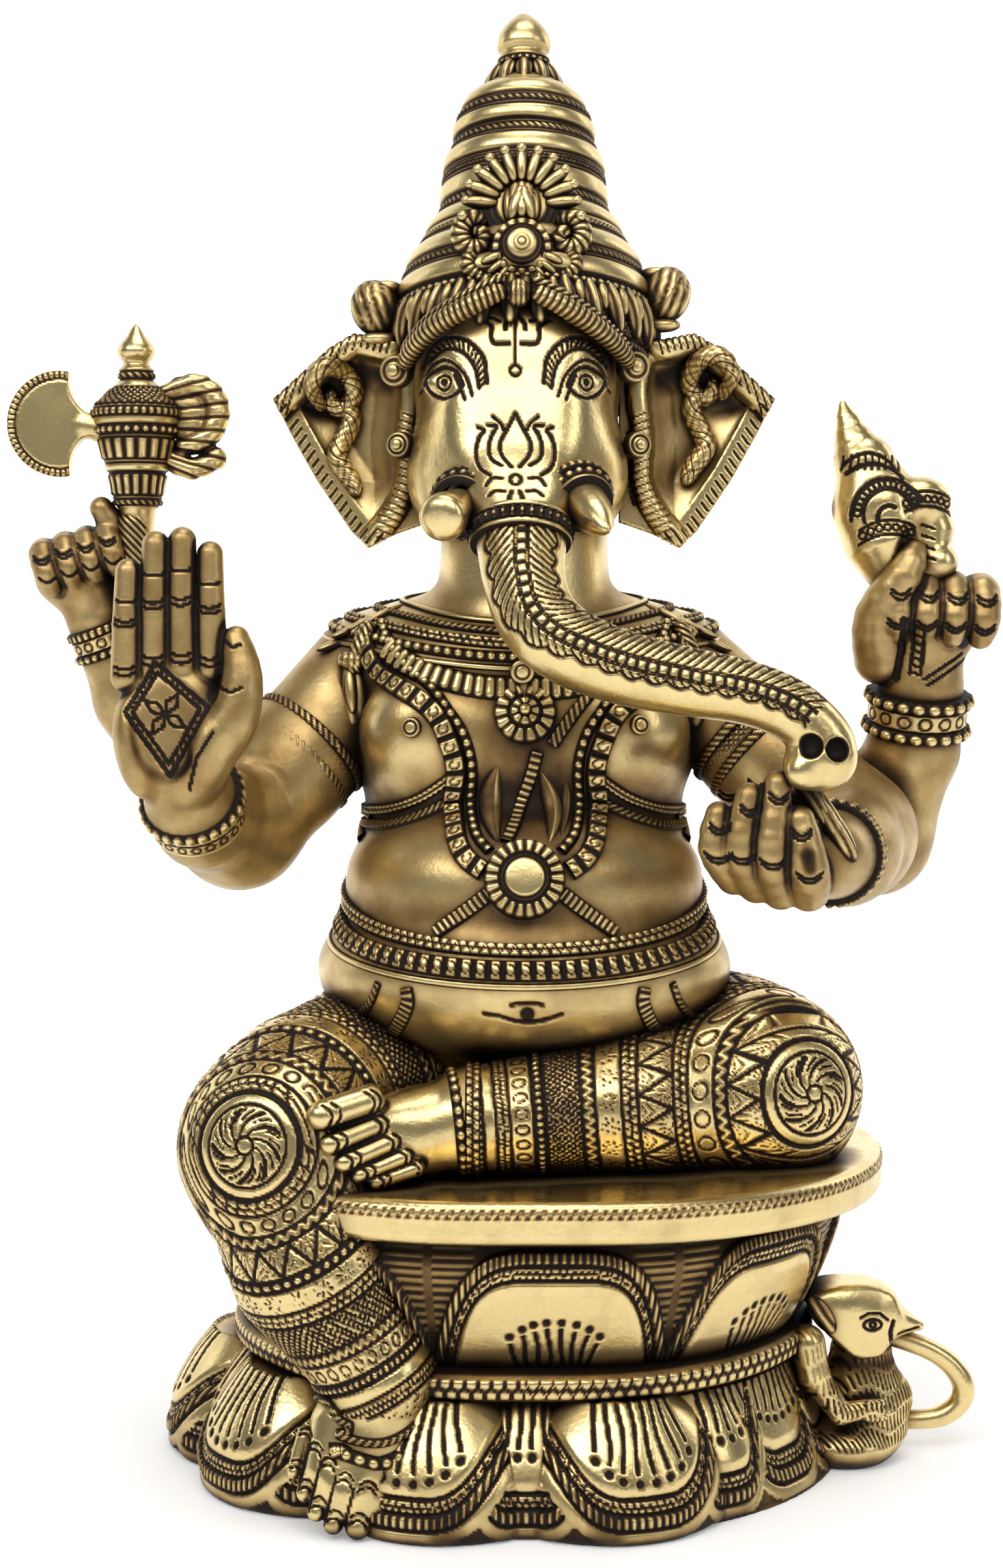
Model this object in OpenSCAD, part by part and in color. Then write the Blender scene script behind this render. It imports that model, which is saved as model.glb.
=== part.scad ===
// Seated elephant-headed idol in cast brass: a two-tier lotus throne, a four-armed
// figure with one leg folded and one hanging, and a mouse standing beside the throne.
// Millimetres, +Z up, the idol faces -Y. "Left" and "right" are the idol's own sides,
// so its right is -X. The origin is under the middle of the rest face.

/* [Throne] */
// Half length of the lower lotus along X
lotus_a = 88; // [86:1:90]
// Half depth of the lower lotus along Y
lotus_b = 77; // [75:1:78]
// Radius of a lower petal's rim
petal_r = 22; // [21:1:23]
// Height of the lower lotus
lotus_h = 29; // [28:1:30]
// Height of the milled band between the tiers
band_h = 6; // [5:1:7]
// Height of the upper lotus drum
drum_h = 31; // [30:1:32]
// Thickness of the seat slab
slab_h = 10; // [9:1:11]
// Wall of the hollow throne
wall = 6; // [5:1:7]

/* [Figure] */
// Distance of the figure's axis from the origin along X
axis_x = 8.5; // [8:0.5:9]
// Radius of the hanging knee
knee_r = 24; // [23:0.5:25]
// Radius of the folded knee
folded_knee_r = 22; // [21:0.5:23]
// Radius of the upper arms at the shoulder
shoulder_r = 15; // [14:0.5:16]
// Radius of the wrists
wrist_r = 9; // [8:0.5:10]
// Radius of the neck
neck_r = 21; // [20:0.5:22]
// Radius of the trunk where it leaves the face
trunk_r = 10.5; // [10:0.5:11]

/* [Crown] */
// Radius of the crown's cap at the temples
cap_r = 31; // [30:0.5:32]
// Radius of the lowest crown tier
tier_r = 21; // [20:0.5:22]
// How far the crown leans back, in degrees
crown_lean = 10; // [8:1:12]

/* [Hidden] */
petals = 10;
brass = "goldenrod";
dark_brass = "darkgoldenrod";
fine = 40;
coarse = 18;
eps = 0.05;
seat_z = lotus_h + band_h + drum_h + slab_h;

// A point of the figure: x from its axis, z from the top of the seat.
function at(x, y, z) = [axis_x + x, y, seat_z + z];

// Skeleton of the figure.
right_knee = at(-55, -40, 6);
right_calf = at(-49, -50, -18);
right_ankle = at(-33, -56, -43);
right_toes = at(-37.5, -70, -71);
left_knee = at(57, -19, 16);
left_ankle = at(-12, -44, 13);
left_toes = at(-39, -51, 8);
right_shoulder = at(-42, 4, 112);
left_shoulder = at(42, 4, 113);
right_elbow = at(-67, -12, 79);
left_elbow = at(79, -8, 76);
right_wrist = at(-75, -38, 88);
left_wrist = at(69, -42, 74);
right_rear_elbow = at(-80, 20, 82);
left_rear_elbow = at(87, 14, 74);
right_rear_wrist = at(-104, 16, 124);
left_rear_wrist = at(97, 5, 102);
trunk_route = [
    at(-1, -42, 148), at(0, -47, 135), at(6, -51, 124), at(22, -54, 117),
    at(42, -56, 113), at(59, -57, 109), at(67, -58, 102)
];
trunk_radii = [trunk_r, 10, 9.5, 8.5, 7.5, 7, 7];

// ---- shared shapes -------------------------------------------------------------

module ball(p, r) {
    translate(p) sphere(r = r, $fn = fine);
}

// Turns +Z towards the point b, with its foot at the point a.
module aimed(a, b) {
    d = b - a;
    translate(a) rotate([0, acos(d[2] / norm(d)), atan2(d[1], d[0])]) children();
}

// A round limb: a cone a little slimmer than the balls that close its two ends.
module limb(a, ra, b, rb) {
    ball(a, ra);
    ball(b, rb);
    aimed(a, b) cylinder(h = norm(b - a), r1 = ra * 0.985, r2 = rb * 0.985, $fn = fine);
}

// The same limb turned as one piece, its round ends in short steps.
module turned_limb(a, ra, b, rb) {
    steps = 6;
    aimed(a, b) rotate_extrude($fn = fine) polygon([
        for (i = [0 : steps]) ra * [cos(90 - 90 * i / steps), -sin(90 - 90 * i / steps)],
        for (i = [0 : steps]) [0, norm(b - a)] + rb * [cos(90 * i / steps), sin(90 * i / steps)]
    ]);
}

// A chain of limbs along a route.
module limb_chain(route, radii) {
    for (i = [0 : len(route) - 2]) limb(route[i], radii[i], route[i + 1], radii[i + 1]);
}

// A ring worn on a limb, lying across the line from a to b.
module bangle(a, b, r_in, r_out, width) {
    aimed(a, b) difference() {
        cylinder(h = width, r = r_out, center = true, $fn = fine);
        cylinder(h = width + 1, r = r_in, center = true, $fn = fine);
    }
}

// Two circles on X and the bar between them, with half length a and half depth b.
module stadium(a, b) {
    for (s = [-1, 1]) translate([s * (a - b), 0]) circle(r = b, $fn = 96);
    square([2 * (a - b), 2 * b], center = true);
}

// The same outline as a slab.
module stadium_slab(a, b, h) {
    linear_extrude(h) stadium(a, b);
}

module faceted_hull() {
    hull() {
        $fn = coarse;
        children();
    }
}

// ---- throne ---------------------------------------------------------------------

// Where petal i stands: the two beside the mouse are set in and smaller.
function by_mouse(i) = i == 0 || i == petals - 1;
function petal_turn(i) = i * 360 / petals;
function petal_in(i) = by_mouse(i) ? 0.88 : 1;
function petal_size(i) = by_mouse(i) ? petal_r - 5 : petal_r;

module petal_shape(i) {
    translate([
        axis_x + petal_in(i) * (lotus_a - petal_r) * cos(petal_turn(i)),
        petal_in(i) * (lotus_b - petal_r) * sin(petal_turn(i)),
        0
    ]) {
        cylinder(h = 7, r = petal_size(i), $fn = fine);
        translate([0, 0, 7])
            cylinder(h = lotus_h - 9, r1 = petal_size(i), r2 = petal_size(i) - 12, $fn = fine);
    }
}

// Round cones side by side along X: half lengths spread + r, half depths r.
module flared_row(spread, r_low, r_high, h) {
    for (s = [-1, 0, 1]) translate([axis_x + s * spread, 0, 0])
        cylinder(h = h, r1 = r_low, r2 = r_high, $fn = 96);
}

module lotus_skirt_shape() {
    flared_row(10, 68, 57, lotus_h);
}

module lotus_base() {
    color(brass) difference() {
        union() {
            lotus_skirt_shape();
            for (i = [0 : petals - 1]) petal_shape(i);
        }
        translate([0, 0, -1]) flared_row(10, 68.5 - wall, 56.5 - wall, lotus_h + 2);
    }
}

module band_shape() {
    translate([axis_x, 0, lotus_h]) stadium_slab(71, 64, band_h);
}

module lotus_rope_band() {
    color(dark_brass) difference() {
        band_shape();
        translate([axis_x, 0, lotus_h - 1]) stadium_slab(71 - wall, 64 - wall, band_h + 2);
    }
}

module drum_shape() {
    translate([0, 0, lotus_h + band_h]) {
        flared_row(10, 56, 67, drum_h * 0.8);
        translate([0, 0, drum_h * 0.8]) flared_row(10, 67, 65, drum_h * 0.2);
    }
}

module lotus_drum() {
    color(brass) difference() {
        drum_shape();
        translate([0, 0, lotus_h + band_h - 1])
            flared_row(10, 55.5 - wall, 66 - wall, drum_h - wall + 1);
    }
}

module seat_slab() {
    color(brass) translate([axis_x + 3, 0, lotus_h + band_h + drum_h]) {
        stadium_slab(82, 69, 1.5);
        translate([0, 0, 1.5]) stadium_slab(85, 72, slab_h - 3);
        translate([0, 0, slab_h - 1.5]) stadium_slab(83, 70, 1.5);
    }
}

// ---- mouse ----------------------------------------------------------------------

mouse_hip = [90, -11, 13];
mouse_chest = [89, -12, 26];
mouse_crown = [88, -13, 36];
mouse_nose = [103.5, -14, 31.5];
mouse_tail_route = [
    [101, -11, 28], [109, -10, 25], [116.5, -10, 19], [116.5, -10, 12], [111, -10, 7.5], [99, -10, 7]
];

module mouse_body() {
    color(brass) difference() {
        union() {
            translate([87, -9, 0]) cylinder(h = 9, r1 = 13.5, r2 = 11, $fn = fine);
            limb(mouse_hip, 11.5, mouse_chest, 8.5);
            for (s = [-1, 1]) limb([93, -12 + 6 * s, 23], 3, [101, -14 + 3 * s, 19], 2.4);
            for (s = [-1, 1]) limb([92, -11 + 7 * s, 8], 5, [100, -11 + 6 * s, 3.2], 3);
        }
        lotus_skirt_shape();
        petal_shape(0);
        petal_shape(petals - 1);
        mouse_head_shape();
    }
}

module mouse_head_shape() {
    turned_limb(mouse_crown, 7, mouse_nose, 2);
}

module mouse_head() {
    color(brass) mouse_head_shape();
}

module mouse_ears() {
    color(brass) for (s = [-1, 1]) difference() {
        aimed([86, -13 + 4 * s, 38], [77, -13 + 6 * s, 41])
            cylinder(h = 9.5, r1 = 4.2, r2 = 1.2, $fn = fine);
        mouse_head_shape();
    }
}

module mouse_tail() {
    color(brass) difference() {
        limb_chain(mouse_tail_route, [2.6, 2.8, 3, 3, 2.8, 2.6]);
        limb(mouse_hip, 11.5, mouse_chest, 8.5);
        for (s = [-1, 1]) limb([93, -12 + 6 * s, 23], 3, [101, -14 + 3 * s, 19], 2.4);
        for (s = [-1, 1]) limb([92, -11 + 7 * s, 8], 5, [100, -11 + 6 * s, 3.2], 3);
        mouse_head_shape();
    }
}

// ---- legs -----------------------------------------------------------------------

module below_seat() {
    translate([-150, -150, -1]) cube([300, 300, seat_z + 1]);
}

module right_thigh_shape() {
    limb(at(-26, 6, 22), 24, at(-50, -30, 14), 21);
}

module right_thigh() {
    color(brass) difference() {
        right_thigh_shape();
        below_seat();
        torso_shape();
        right_shin_shape();
    }
}

module right_shin_shape() {
    limb(right_knee, knee_r, right_calf, 18);
    limb(right_calf, 18, right_ankle, 13.5);
}

module right_shin() {
    color(brass) difference() {
        right_shin_shape();
        translate([axis_x + 3, 0, lotus_h + band_h + drum_h]) stadium_slab(85, 72, slab_h);
        drum_shape();
        band_shape();
        lotus_skirt_shape();
        for (i = [6, 7]) petal_shape(i);
    }
}

module right_foot_shape() {
    limb(right_ankle + [0, -2, -4], 11, at(-35, -66, -65), 7.5);
    for (i = [0 : 4]) {
        side = i - 2;
        limb(
            at(-35 + 4 * side, -64, -62), 3,
            right_toes + [3.7 * side, abs(side) * 0.6, abs(side) * 0.5], 2.6
        );
    }
}

module right_foot() {
    color(brass) difference() {
        right_foot_shape();
        right_shin_shape();
        lotus_skirt_shape();
        for (i = [6, 7]) petal_shape(i);
        band_shape();
        translate([0, 0, -50]) cube([300, 300, 100], center = true);
    }
}

module left_thigh_shape() {
    limb(at(26, 8, 22), 24, at(52, -8, 17), 20);
}

module left_thigh() {
    color(brass) difference() {
        left_thigh_shape();
        below_seat();
        torso_shape();
        left_shin_shape();
    }
}

module left_shin_shape() {
    turned_limb(left_knee, folded_knee_r, left_ankle, 11.5);
}

module left_shin() {
    color(brass) difference() {
        left_shin_shape();
        below_seat();
        torso_shape();
    }
}

module left_foot() {
    color(brass) difference() {
        union() {
            limb(left_ankle + [-3, 0, 0], 9, at(-26, -45, 11), 8);
            for (i = [0 : 4]) limb(
                at(-27 + i, -46, 17 - 4.6 * i), 3.2 - 0.15 * i,
                left_toes + [2.6 * i, 0, 9 - 4.8 * i], 3.3 - 0.25 * i
            );
        }
        left_shin_shape();
        right_shin_shape();
        right_thigh_shape();
        below_seat();
    }
}

module anklets() {
    color(dark_brass) {
        bangle(right_ankle + [0, -4, -9], at(-35, -66, -65), 10.6, 12.6, 3);
        bangle(left_ankle, left_toes, 9.6, 12.4, 3);
    }
}

// ---- torso ----------------------------------------------------------------------

module torso_shape() {
    // pelvis and belly
    faceted_hull() {
        for (s = [-1, 1]) translate(at(s * 24, 6, 26)) sphere(r = 25);
        for (s = [-1, 1]) translate(at(s * 15, -12, 50)) sphere(r = 33);
        translate(at(0, -14, 46)) sphere(r = 35);
    }
    // waist and chest
    faceted_hull() {
        for (s = [-1, 1]) translate(at(s * 16, 2, 66)) sphere(r = 27);
        for (s = [-1, 1]) translate(at(s * 20, 0, 100)) sphere(r = 24);
        for (s = [-1, 1]) translate(at(s * 17, -14, 100)) sphere(r = 17);
    }
    // shoulders and neck
    faceted_hull() {
        for (s = [-1, 1]) translate(at(s * 36, 5, 116)) sphere(r = 14);
        translate(at(0, 0, 126)) sphere(r = neck_r);
    }
    translate(at(0, -2, 120)) cylinder(h = 30, r = neck_r, $fn = fine);
}

// The sealed core that the casting leaves inside the belly and chest.
module torso_core() {
    faceted_hull() {
        for (s = [-1, 1]) translate(at(s * 16, -6, 44)) sphere(r = 24);
        for (s = [-1, 1]) translate(at(s * 14, -2, 92)) sphere(r = 17);
    }
}

module torso() {
    color(brass) difference() {
        torso_shape();
        torso_core();
        below_seat();
        head_shape();
    }
}

module waist_belt() {
    color(dark_brass) difference() {
        translate(at(0, -5, 50)) linear_extrude(9) stadium(51, 45);
        torso_shape();
        left_thigh_shape();
        right_thigh_shape();
    }
}

module chest_band() {
    color(dark_brass) difference() {
        translate(at(0, -1, 77)) linear_extrude(7) stadium(44, 33);
        torso_shape();
    }
}

module collar_necklace() {
    color(dark_brass) difference() {
        for (i = [0 : 1]) translate(at(0, -1.5 - 2 * i, 123 - 6 * i)) rotate([20, 0, 0])
            cylinder(h = 4.5, r = 24 + 4 * i, $fn = fine);
        torso_shape();
        translate(at(0, -2, 100)) cylinder(h = 60, r = neck_r, $fn = fine);
    }
}

garland_route = [
    at(-31, -20, 114), at(-24, -29, 108), at(-19, -33, 99), at(-14, -33, 90),
    at(-15, -38, 80), at(-9, -45, 72)
];

module garland_chain() {
    color(dark_brass) difference() {
        for (s = [0, 1]) translate([s * 2 * axis_x, 0, 0]) mirror([s, 0, 0])
            limb_chain(garland_route, [4, 4, 4, 4, 4, 4]);
        torso_shape();
        belly_medallion_shape();
        collar_necklace();
    }
}

module chest_pendant() {
    color(dark_brass) difference() {
        aimed(at(0, -26, 98), at(0, -40, 99)) cylinder(h = 11, r = 6.5, $fn = fine);
        torso_shape();
    }
}

module belly_medallion_shape() {
    aimed(at(0, -38, 66), at(0, -58, 70)) cylinder(h = 14, r = 9.5, $fn = fine);
}

module belly_medallion() {
    color(dark_brass) difference() {
        belly_medallion_shape();
        torso_shape();
    }
}

module sacred_cords() {
    color(dark_brass) difference() {
        for (s = [-1, 1]) {
            limb(at(s * 9, -44, 61), 2.6, at(s * 20, -42, 60), 2.6);
            limb(at(s * 26, -42, 50), 2.6, at(s * 29, -40, 30), 2.6);
        }
        torso_shape();
        belly_medallion_shape();
        waist_belt();
        left_thigh_shape();
        right_thigh_shape();
    }
}

module shoulder_tassels() {
    color(dark_brass) for (s = [-1, 1]) difference() {
        limb(at(s * 40, -9, 119), 3.4, at(s * 42, -12, 104), 5.5);
        torso_shape();
        right_upper_arm_shape();
        left_upper_arm_shape();
    }
}

// ---- front arms -----------------------------------------------------------------

module right_upper_arm_shape() {
    limb(right_shoulder, shoulder_r, right_elbow, 14.5);
}

module right_upper_arm() {
    color(brass) difference() {
        right_upper_arm_shape();
        torso_shape();
    }
}

module right_forearm() {
    color(brass) difference() {
        limb(right_elbow, 15, right_wrist, wrist_r);
        right_upper_arm_shape();
    }
}

// A hand drawn upright at the origin: palm towards -Y, fingers along +Z, thumb at +X.
module open_hand() {
    for (x = [-8, 0, 7]) limb([x * 0.8, 0, 6], 7.5, [x, 0, 26], 6);
    for (i = [0 : 3]) limb(
        [-11.4 + 6.6 * i, 0.5, 28], 3.6,
        [-10.6 + 5.8 * i, 0.5, 52 - 3.5 * abs(i - 1.9)], 3.1
    );
    limb([9, -2, 8], 6, [14.5, -4, 22], 4.4);
    limb([14.5, -4, 22], 4.4, [14, -4, 35], 3);
}

module blessing_hand() {
    color(brass) difference() {
        translate(right_wrist + [-1, -9, 4]) rotate([4, 0, 0]) open_hand();
        limb(right_elbow, 15, right_wrist, wrist_r);
    }
}

module right_bangle() {
    color(dark_brass) bangle(
        right_wrist + [-0.8, 3, -1.5], right_wrist + [-1.6, -3, 0], 10.2, 13, 6
    );
}

module left_upper_arm_shape() {
    limb(left_shoulder, shoulder_r, left_elbow, 14.5);
}

module left_upper_arm() {
    color(brass) difference() {
        left_upper_arm_shape();
        torso_shape();
    }
}

module left_forearm() {
    color(brass) difference() {
        turned_limb(left_elbow, 15, left_wrist, wrist_r);
        left_upper_arm_shape();
    }
}

// A cupped hand with its fingers curled up along +Z round something held at the top.
module cupped_hand() {
    for (x = [-6, 0, 6]) limb([x, 0, 2], 6.5, [x, -2, 8], 6.5);
    for (i = [0 : 3]) limb_chain(
        [[-10.5 + 6.2 * i, -3, 1], [-11.5 + 6.6 * i, -6.5, 12], [-8 + 5.2 * i, -3, 23 - 2.5 * abs(i - 2)]],
        [4.2, 3.8, 3.1]
    );
    limb([12, 0, 3], 5.5, [13, -4, 16], 4);
}

module offering_hand() {
    color(brass) difference() {
        translate(left_wrist + [-9, -8, -6]) cupped_hand();
        limb(left_elbow, 15, left_wrist, wrist_r);
        sweet_shape();
    }
}

module left_bangle() {
    color(dark_brass) bangle(
        left_wrist + [1.2, 3.4, 0], left_wrist + [-1.2, -3.4, 0], 10.2, 12, 5
    );
}

module sweet_shape() {
    ball(left_wrist + [-3, -8, 13], 7.5);
}

module sweet() {
    color(dark_brass) sweet_shape();
}

// ---- rear arms ------------------------------------------------------------------

module right_rear_arm_shape() {
    limb(at(-38, 16, 114), 12.5, right_rear_elbow, 11);
    limb(right_rear_elbow, 11, right_rear_wrist, 8);
}

module right_rear_arm() {
    color(brass) difference() {
        right_rear_arm_shape();
        torso_shape();
        right_upper_arm_shape();
        limb(right_elbow, 15, right_wrist, wrist_r);
    }
}

module left_rear_arm_shape() {
    limb(at(40, 16, 114), 12.5, left_rear_elbow, 13);
    limb(left_rear_elbow, 13, left_rear_wrist, 9);
}

module left_rear_arm() {
    color(brass) difference() {
        left_rear_arm_shape();
        torso_shape();
        left_upper_arm_shape();
        limb(left_elbow, 15, left_wrist, wrist_r);
    }
}

// A fist drawn upright at the origin, its fingers folded towards -Y.
module fist() {
    limb([0, 0, 0], 8, [0, 0, 14], 10);
    for (i = [0 : 3]) limb(
        [-9 + 6 * i, -5, 20], 3.6, [-8.5 + 5.7 * i, -10, 13], 3.3
    );
    for (i = [0 : 3]) ball([-9 + 6 * i, 0, 20], 4.2);
    limb([-9, -3, 8], 3.6, [-6, -9, 20], 3);
}

module right_rear_hand_shape() {
    translate(right_rear_wrist + [-1, 0, 4]) rotate([0, -14, 0]) scale(0.86) fist();
}

module right_rear_hand() {
    color(brass) difference() {
        right_rear_hand_shape();
        limb(right_rear_elbow, 11, right_rear_wrist, 8);
    }
}

module left_rear_hand_shape() {
    translate(left_rear_wrist + [0.5, -2, 8]) rotate([0, 3, 0]) fist();
}

module left_rear_hand() {
    color(brass) difference() {
        left_rear_hand_shape();
        limb(left_rear_elbow, 13, left_rear_wrist, 9);
    }
}

module right_rear_bangle() {
    color(dark_brass) bangle(
        right_rear_wrist + [2.6, 0.4, -4.6], right_rear_wrist, 8.5, 10.3, 5
    );
}

module left_rear_bangle() {
    color(dark_brass) bangle(
        left_rear_wrist + [-0.6, 0.6, -3], left_rear_wrist + [0.6, -0.6, 3], 9.8, 12, 11
    );
}

axe_foot = right_rear_wrist + [9, -7, 12];
axe_head = axe_foot + [1, -1, 44];

module axe() {
    color(brass) difference() {
        union() {
            // shaft, vase-shaped head and pointed finial
            limb(axe_foot, 3.4, axe_head + [0, 0, -24], 4.5);
            translate(axe_head + [0, 0, -26]) cylinder(h = 20, r1 = 6, r2 = 10.5, $fn = fine);
            translate(axe_head + [0, 0, -6]) cylinder(h = 8, r1 = 10.5, r2 = 4, $fn = fine);
            translate(axe_head + [0, 0, 2]) cylinder(h = 4, r = 4.2, $fn = fine);
            translate(axe_head + [0, 0, 6]) cylinder(h = 3, r1 = 3.6, r2 = 5, $fn = fine);
            translate(axe_head + [0, 0, 9]) cylinder(h = 10, r1 = 5, r2 = 0.6, $fn = fine);
            // crescent blade on the idol's right and its neck
            translate(axe_head + [-20, 0, -7]) rotate([90, 0, 0]) difference() {
                cylinder(h = 4, r = 12.5, center = true, $fn = fine);
                for (s = [-1, 1]) translate([11, s * 11, 0])
                    cylinder(h = 6, r = 9, center = true, $fn = fine);
                translate([13, 0, 0]) cube([10, 30, 6], center = true);
            }
            limb(axe_head + [-12, 0, -7], 2.4, axe_head + [-5, 0, -7], 3.4);
            // noose on the other side, and its tail
            translate(axe_head + [11, 0, -8]) rotate([90, 0, 0])
                cylinder(h = 6, r = 8.5, center = true, $fn = fine);
            limb(axe_head + [10, 0, -18], 3, axe_head + [20, 0, -16], 2.4);
        }
        right_rear_hand_shape();
    }
}

conch_foot = left_rear_wrist + [-6, -6, 33];
conch_mid = conch_foot + [-7, 0, 18];
conch_tip = conch_foot + [-13, 1, 43];

module conch() {
    color(brass) difference() {
        union() {
            limb(conch_foot, 5, conch_mid, 10.5);
            limb(conch_mid, 10.5, conch_mid + [-2, 0, 10], 8.5);
            limb(conch_mid + [8, 0, 2], 8, conch_mid + [10, 0, -10], 5);
            aimed(conch_mid + [-2, 0, 12], conch_tip) cylinder(h = 15, r1 = 8, r2 = 1.2, $fn = fine);
        }
        left_rear_hand_shape();
    }
}

module armlets() {
    color(dark_brass) {
        difference() {
            bangle(at(-53.5, -3.4, 97), right_elbow, 13.5, 16.6, 5);
            right_upper_arm_shape();
            right_rear_arm_shape();
            torso_shape();
        }
        difference() {
            bangle(at(58, -1.2, 97), left_elbow, 13.5, 16.6, 5);
            left_upper_arm_shape();
            left_rear_arm_shape();
            torso_shape();
        }
    }
}

// ---- head -----------------------------------------------------------------------

module head_shape() {
    faceted_hull() {
        translate(at(0, 2, 178)) sphere(r = 27);
        translate(at(0, -10, 188)) sphere(r = 24);
        for (s = [-1, 1]) translate(at(s * 14, -10, 160)) sphere(r = 14);
        translate(at(0, -28, 160)) sphere(r = 11);
    }
}

module head() {
    color(brass) difference() {
        head_shape();
        trunk_shape();
    }
}

module trunk_shape() {
    limb_chain(trunk_route, trunk_radii);
    ball(at(65.5, -58, 98), 7.2);
}

module trunk() {
    color(brass) difference() {
        trunk_shape();
        right_tusk_shape();
        left_tusk_shape();
        torso_shape();
        collar_necklace();
        offering_hand();
        sweet_shape();
    }
}

module trunk_ring() {
    color(dark_brass) difference() {
        translate(at(-1, -43, 147)) rotate([-12, 0, 0]) cylinder(h = 4, r = 11.8, $fn = fine);
        trunk_shape();
        head_shape();
    }
}

module right_tusk_shape() {
    aimed(at(-14, -36, 154), at(-18.5, -50, 151)) cylinder(h = 13, r1 = 5.5, r2 = 6.4, $fn = fine);
}

module right_tusk() {
    color(brass) difference() {
        right_tusk_shape();
        head_shape();
    }
}

module left_tusk_shape() {
    aimed(at(12.5, -36, 155), at(17.5, -50, 148)) cylinder(h = 17, r1 = 5, r2 = 1.6, $fn = fine);
}

module left_tusk() {
    color(brass) difference() {
        left_tusk_shape();
        head_shape();
    }
}

module tusk_collars() {
    color(dark_brass) {
        difference() {
            aimed(at(-13.6, -34, 154.4), at(-18.5, -50, 151)) cylinder(h = 7, r = 8, $fn = fine);
            right_tusk_shape();
            head_shape();
            trunk_shape();
        }
        difference() {
            aimed(at(12, -34, 155.8), at(17.5, -50, 148)) cylinder(h = 6, r = 7.5, $fn = fine);
            left_tusk_shape();
            head_shape();
            trunk_shape();
        }
    }
}

// The right ear: a pointed fan, drawn flat and swept back. The left one is its mirror.
module ear_shape() {
    translate(at(-24, -3, 176)) rotate([90, 0, -14]) linear_extrude(6, center = true)
        polygon([[0, 17], [-10, 21], [-24, 15], [-37.5, 5], [-31, -9], [-9, -32], [-4, -27], [0, -10]]);
}

module left_side() {
    translate([2 * axis_x, 0, 0]) mirror([1, 0, 0]) children();
}

module right_ear() {
    color(brass) difference() {
        ear_shape();
        head_shape();
        crown_cap_shape();
    }
}

module left_ear() {
    color(brass) difference() {
        left_side() ear_shape();
        head_shape();
        crown_cap_shape();
    }
}

module ear_scroll_shape() {
    route = [at(-42, -1.5, 187), at(-47, -0.5, 181), at(-44, -1, 175), at(-41, -2, 166), at(-38, -3, 158)];
    limb_chain(route, [2.5, 2.5, 2.5, 2.5, 2.5]);
}

module ear_scrolls() {
    color(dark_brass) difference() {
        union() {
            ear_scroll_shape();
            left_side() ear_scroll_shape();
        }
        ear_shape();
        left_side() ear_shape();
    }
}

module ear_rosettes() {
    color(dark_brass) difference() {
        union() {
            ball(at(-36, -5, 203), 6);
            left_side() ball(at(-36, -5, 203), 6);
        }
        ear_shape();
        left_side() ear_shape();
        crown_cap_shape();
    }
}

// A cast stud, its foot sunk in the side of the head.
module temple_stud(side, z, r) {
    aimed(at(side * 22, -10, z), at(side * 30, -14, z))
        cylinder(h = 11, r1 = r, r2 = r - 1.2, $fn = fine);
}

module temple_studs() {
    color(dark_brass) difference() {
        for (side = [-1, 1]) {
            temple_stud(side, 182, 3.8);
            temple_stud(side, 169, 3.4);
        }
        head_shape();
    }
}

// ---- crown ----------------------------------------------------------------------

// The crown's own frame, leaning back from the middle of the cap.
module crown_frame() {
    translate(at(0, 0, 188)) rotate([-crown_lean, 0, 0]) children();
}

module crown_cap_shape() {
    crown_frame() rotate_extrude($fn = 96) polygon([
        [0, 0], [cap_r, 0], [cap_r + 0.5, 8], [cap_r - 2, 18], [tier_r + 4, 28], [0, 28]
    ]);
}

module crown_cap() {
    color(brass) difference() {
        crown_cap_shape();
        head_shape();
    }
}

module brow_band() {
    color(dark_brass) difference() {
        for (s = [-1, 1]) limb(at(s * 1.5, -36, 200), 3, at(s * 27, -16, 186), 3);
        head_shape();
        crown_cap_shape();
        crown_plaque_shape();
        for (s = [-1, 1]) temple_stud(s, 182, 3.8);
    }
}

module crown_tiers() {
    color(brass) crown_frame() translate([0, 0, 28]) rotate_extrude($fn = 96) polygon([
        [0, 0], [tier_r, 0], [tier_r, 9], [tier_r - 1, 11], [tier_r - 0.5, 17],
        [tier_r - 3, 21], [tier_r - 3.5, 27], [tier_r - 7, 35], [tier_r - 13, 41], [0, 41]
    ]);
}

module crown_finial() {
    color(brass) crown_frame() translate([0, 0, 69]) rotate_extrude($fn = 64) polygon([
        [0, 0], [7, 0], [5.5, 4], [6.2, 5], [6.2, 8], [5.6, 9], [6.8, 12], [6, 16], [3.4, 20],
        [1, 22], [0, 22]
    ]);
}

module crown_plaque_shape() {
    crown_frame() rotate([90, 0, 0]) {
        translate([0, 34, 20]) cylinder(h = 8, r = 13, $fn = fine);
        translate([0, 17, 22]) cylinder(h = 13, r = 9, $fn = fine);
    }
}

module crown_plaque() {
    color(dark_brass) difference() {
        crown_plaque_shape();
        crown_cap_shape();
        crown_tiers();
    }
}

module crown_wheel() {
    color(brass) difference() {
        crown_frame() translate([0, 0, 14]) rotate([-90, 0, 0]) {
            cylinder(h = 37, r = 6, $fn = fine);
            translate([0, 0, 32]) cylinder(h = 4, r = 26, $fn = fine);
            for (i = [0 : 11]) rotate([0, 0, i * 30]) translate([26, 0, 32]) cylinder(h = 4, r = 3.2, $fn = fine);
        }
        crown_cap_shape();
        head_shape();
    }
}

// ---- what is drawn --------------------------------------------------------------

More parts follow.
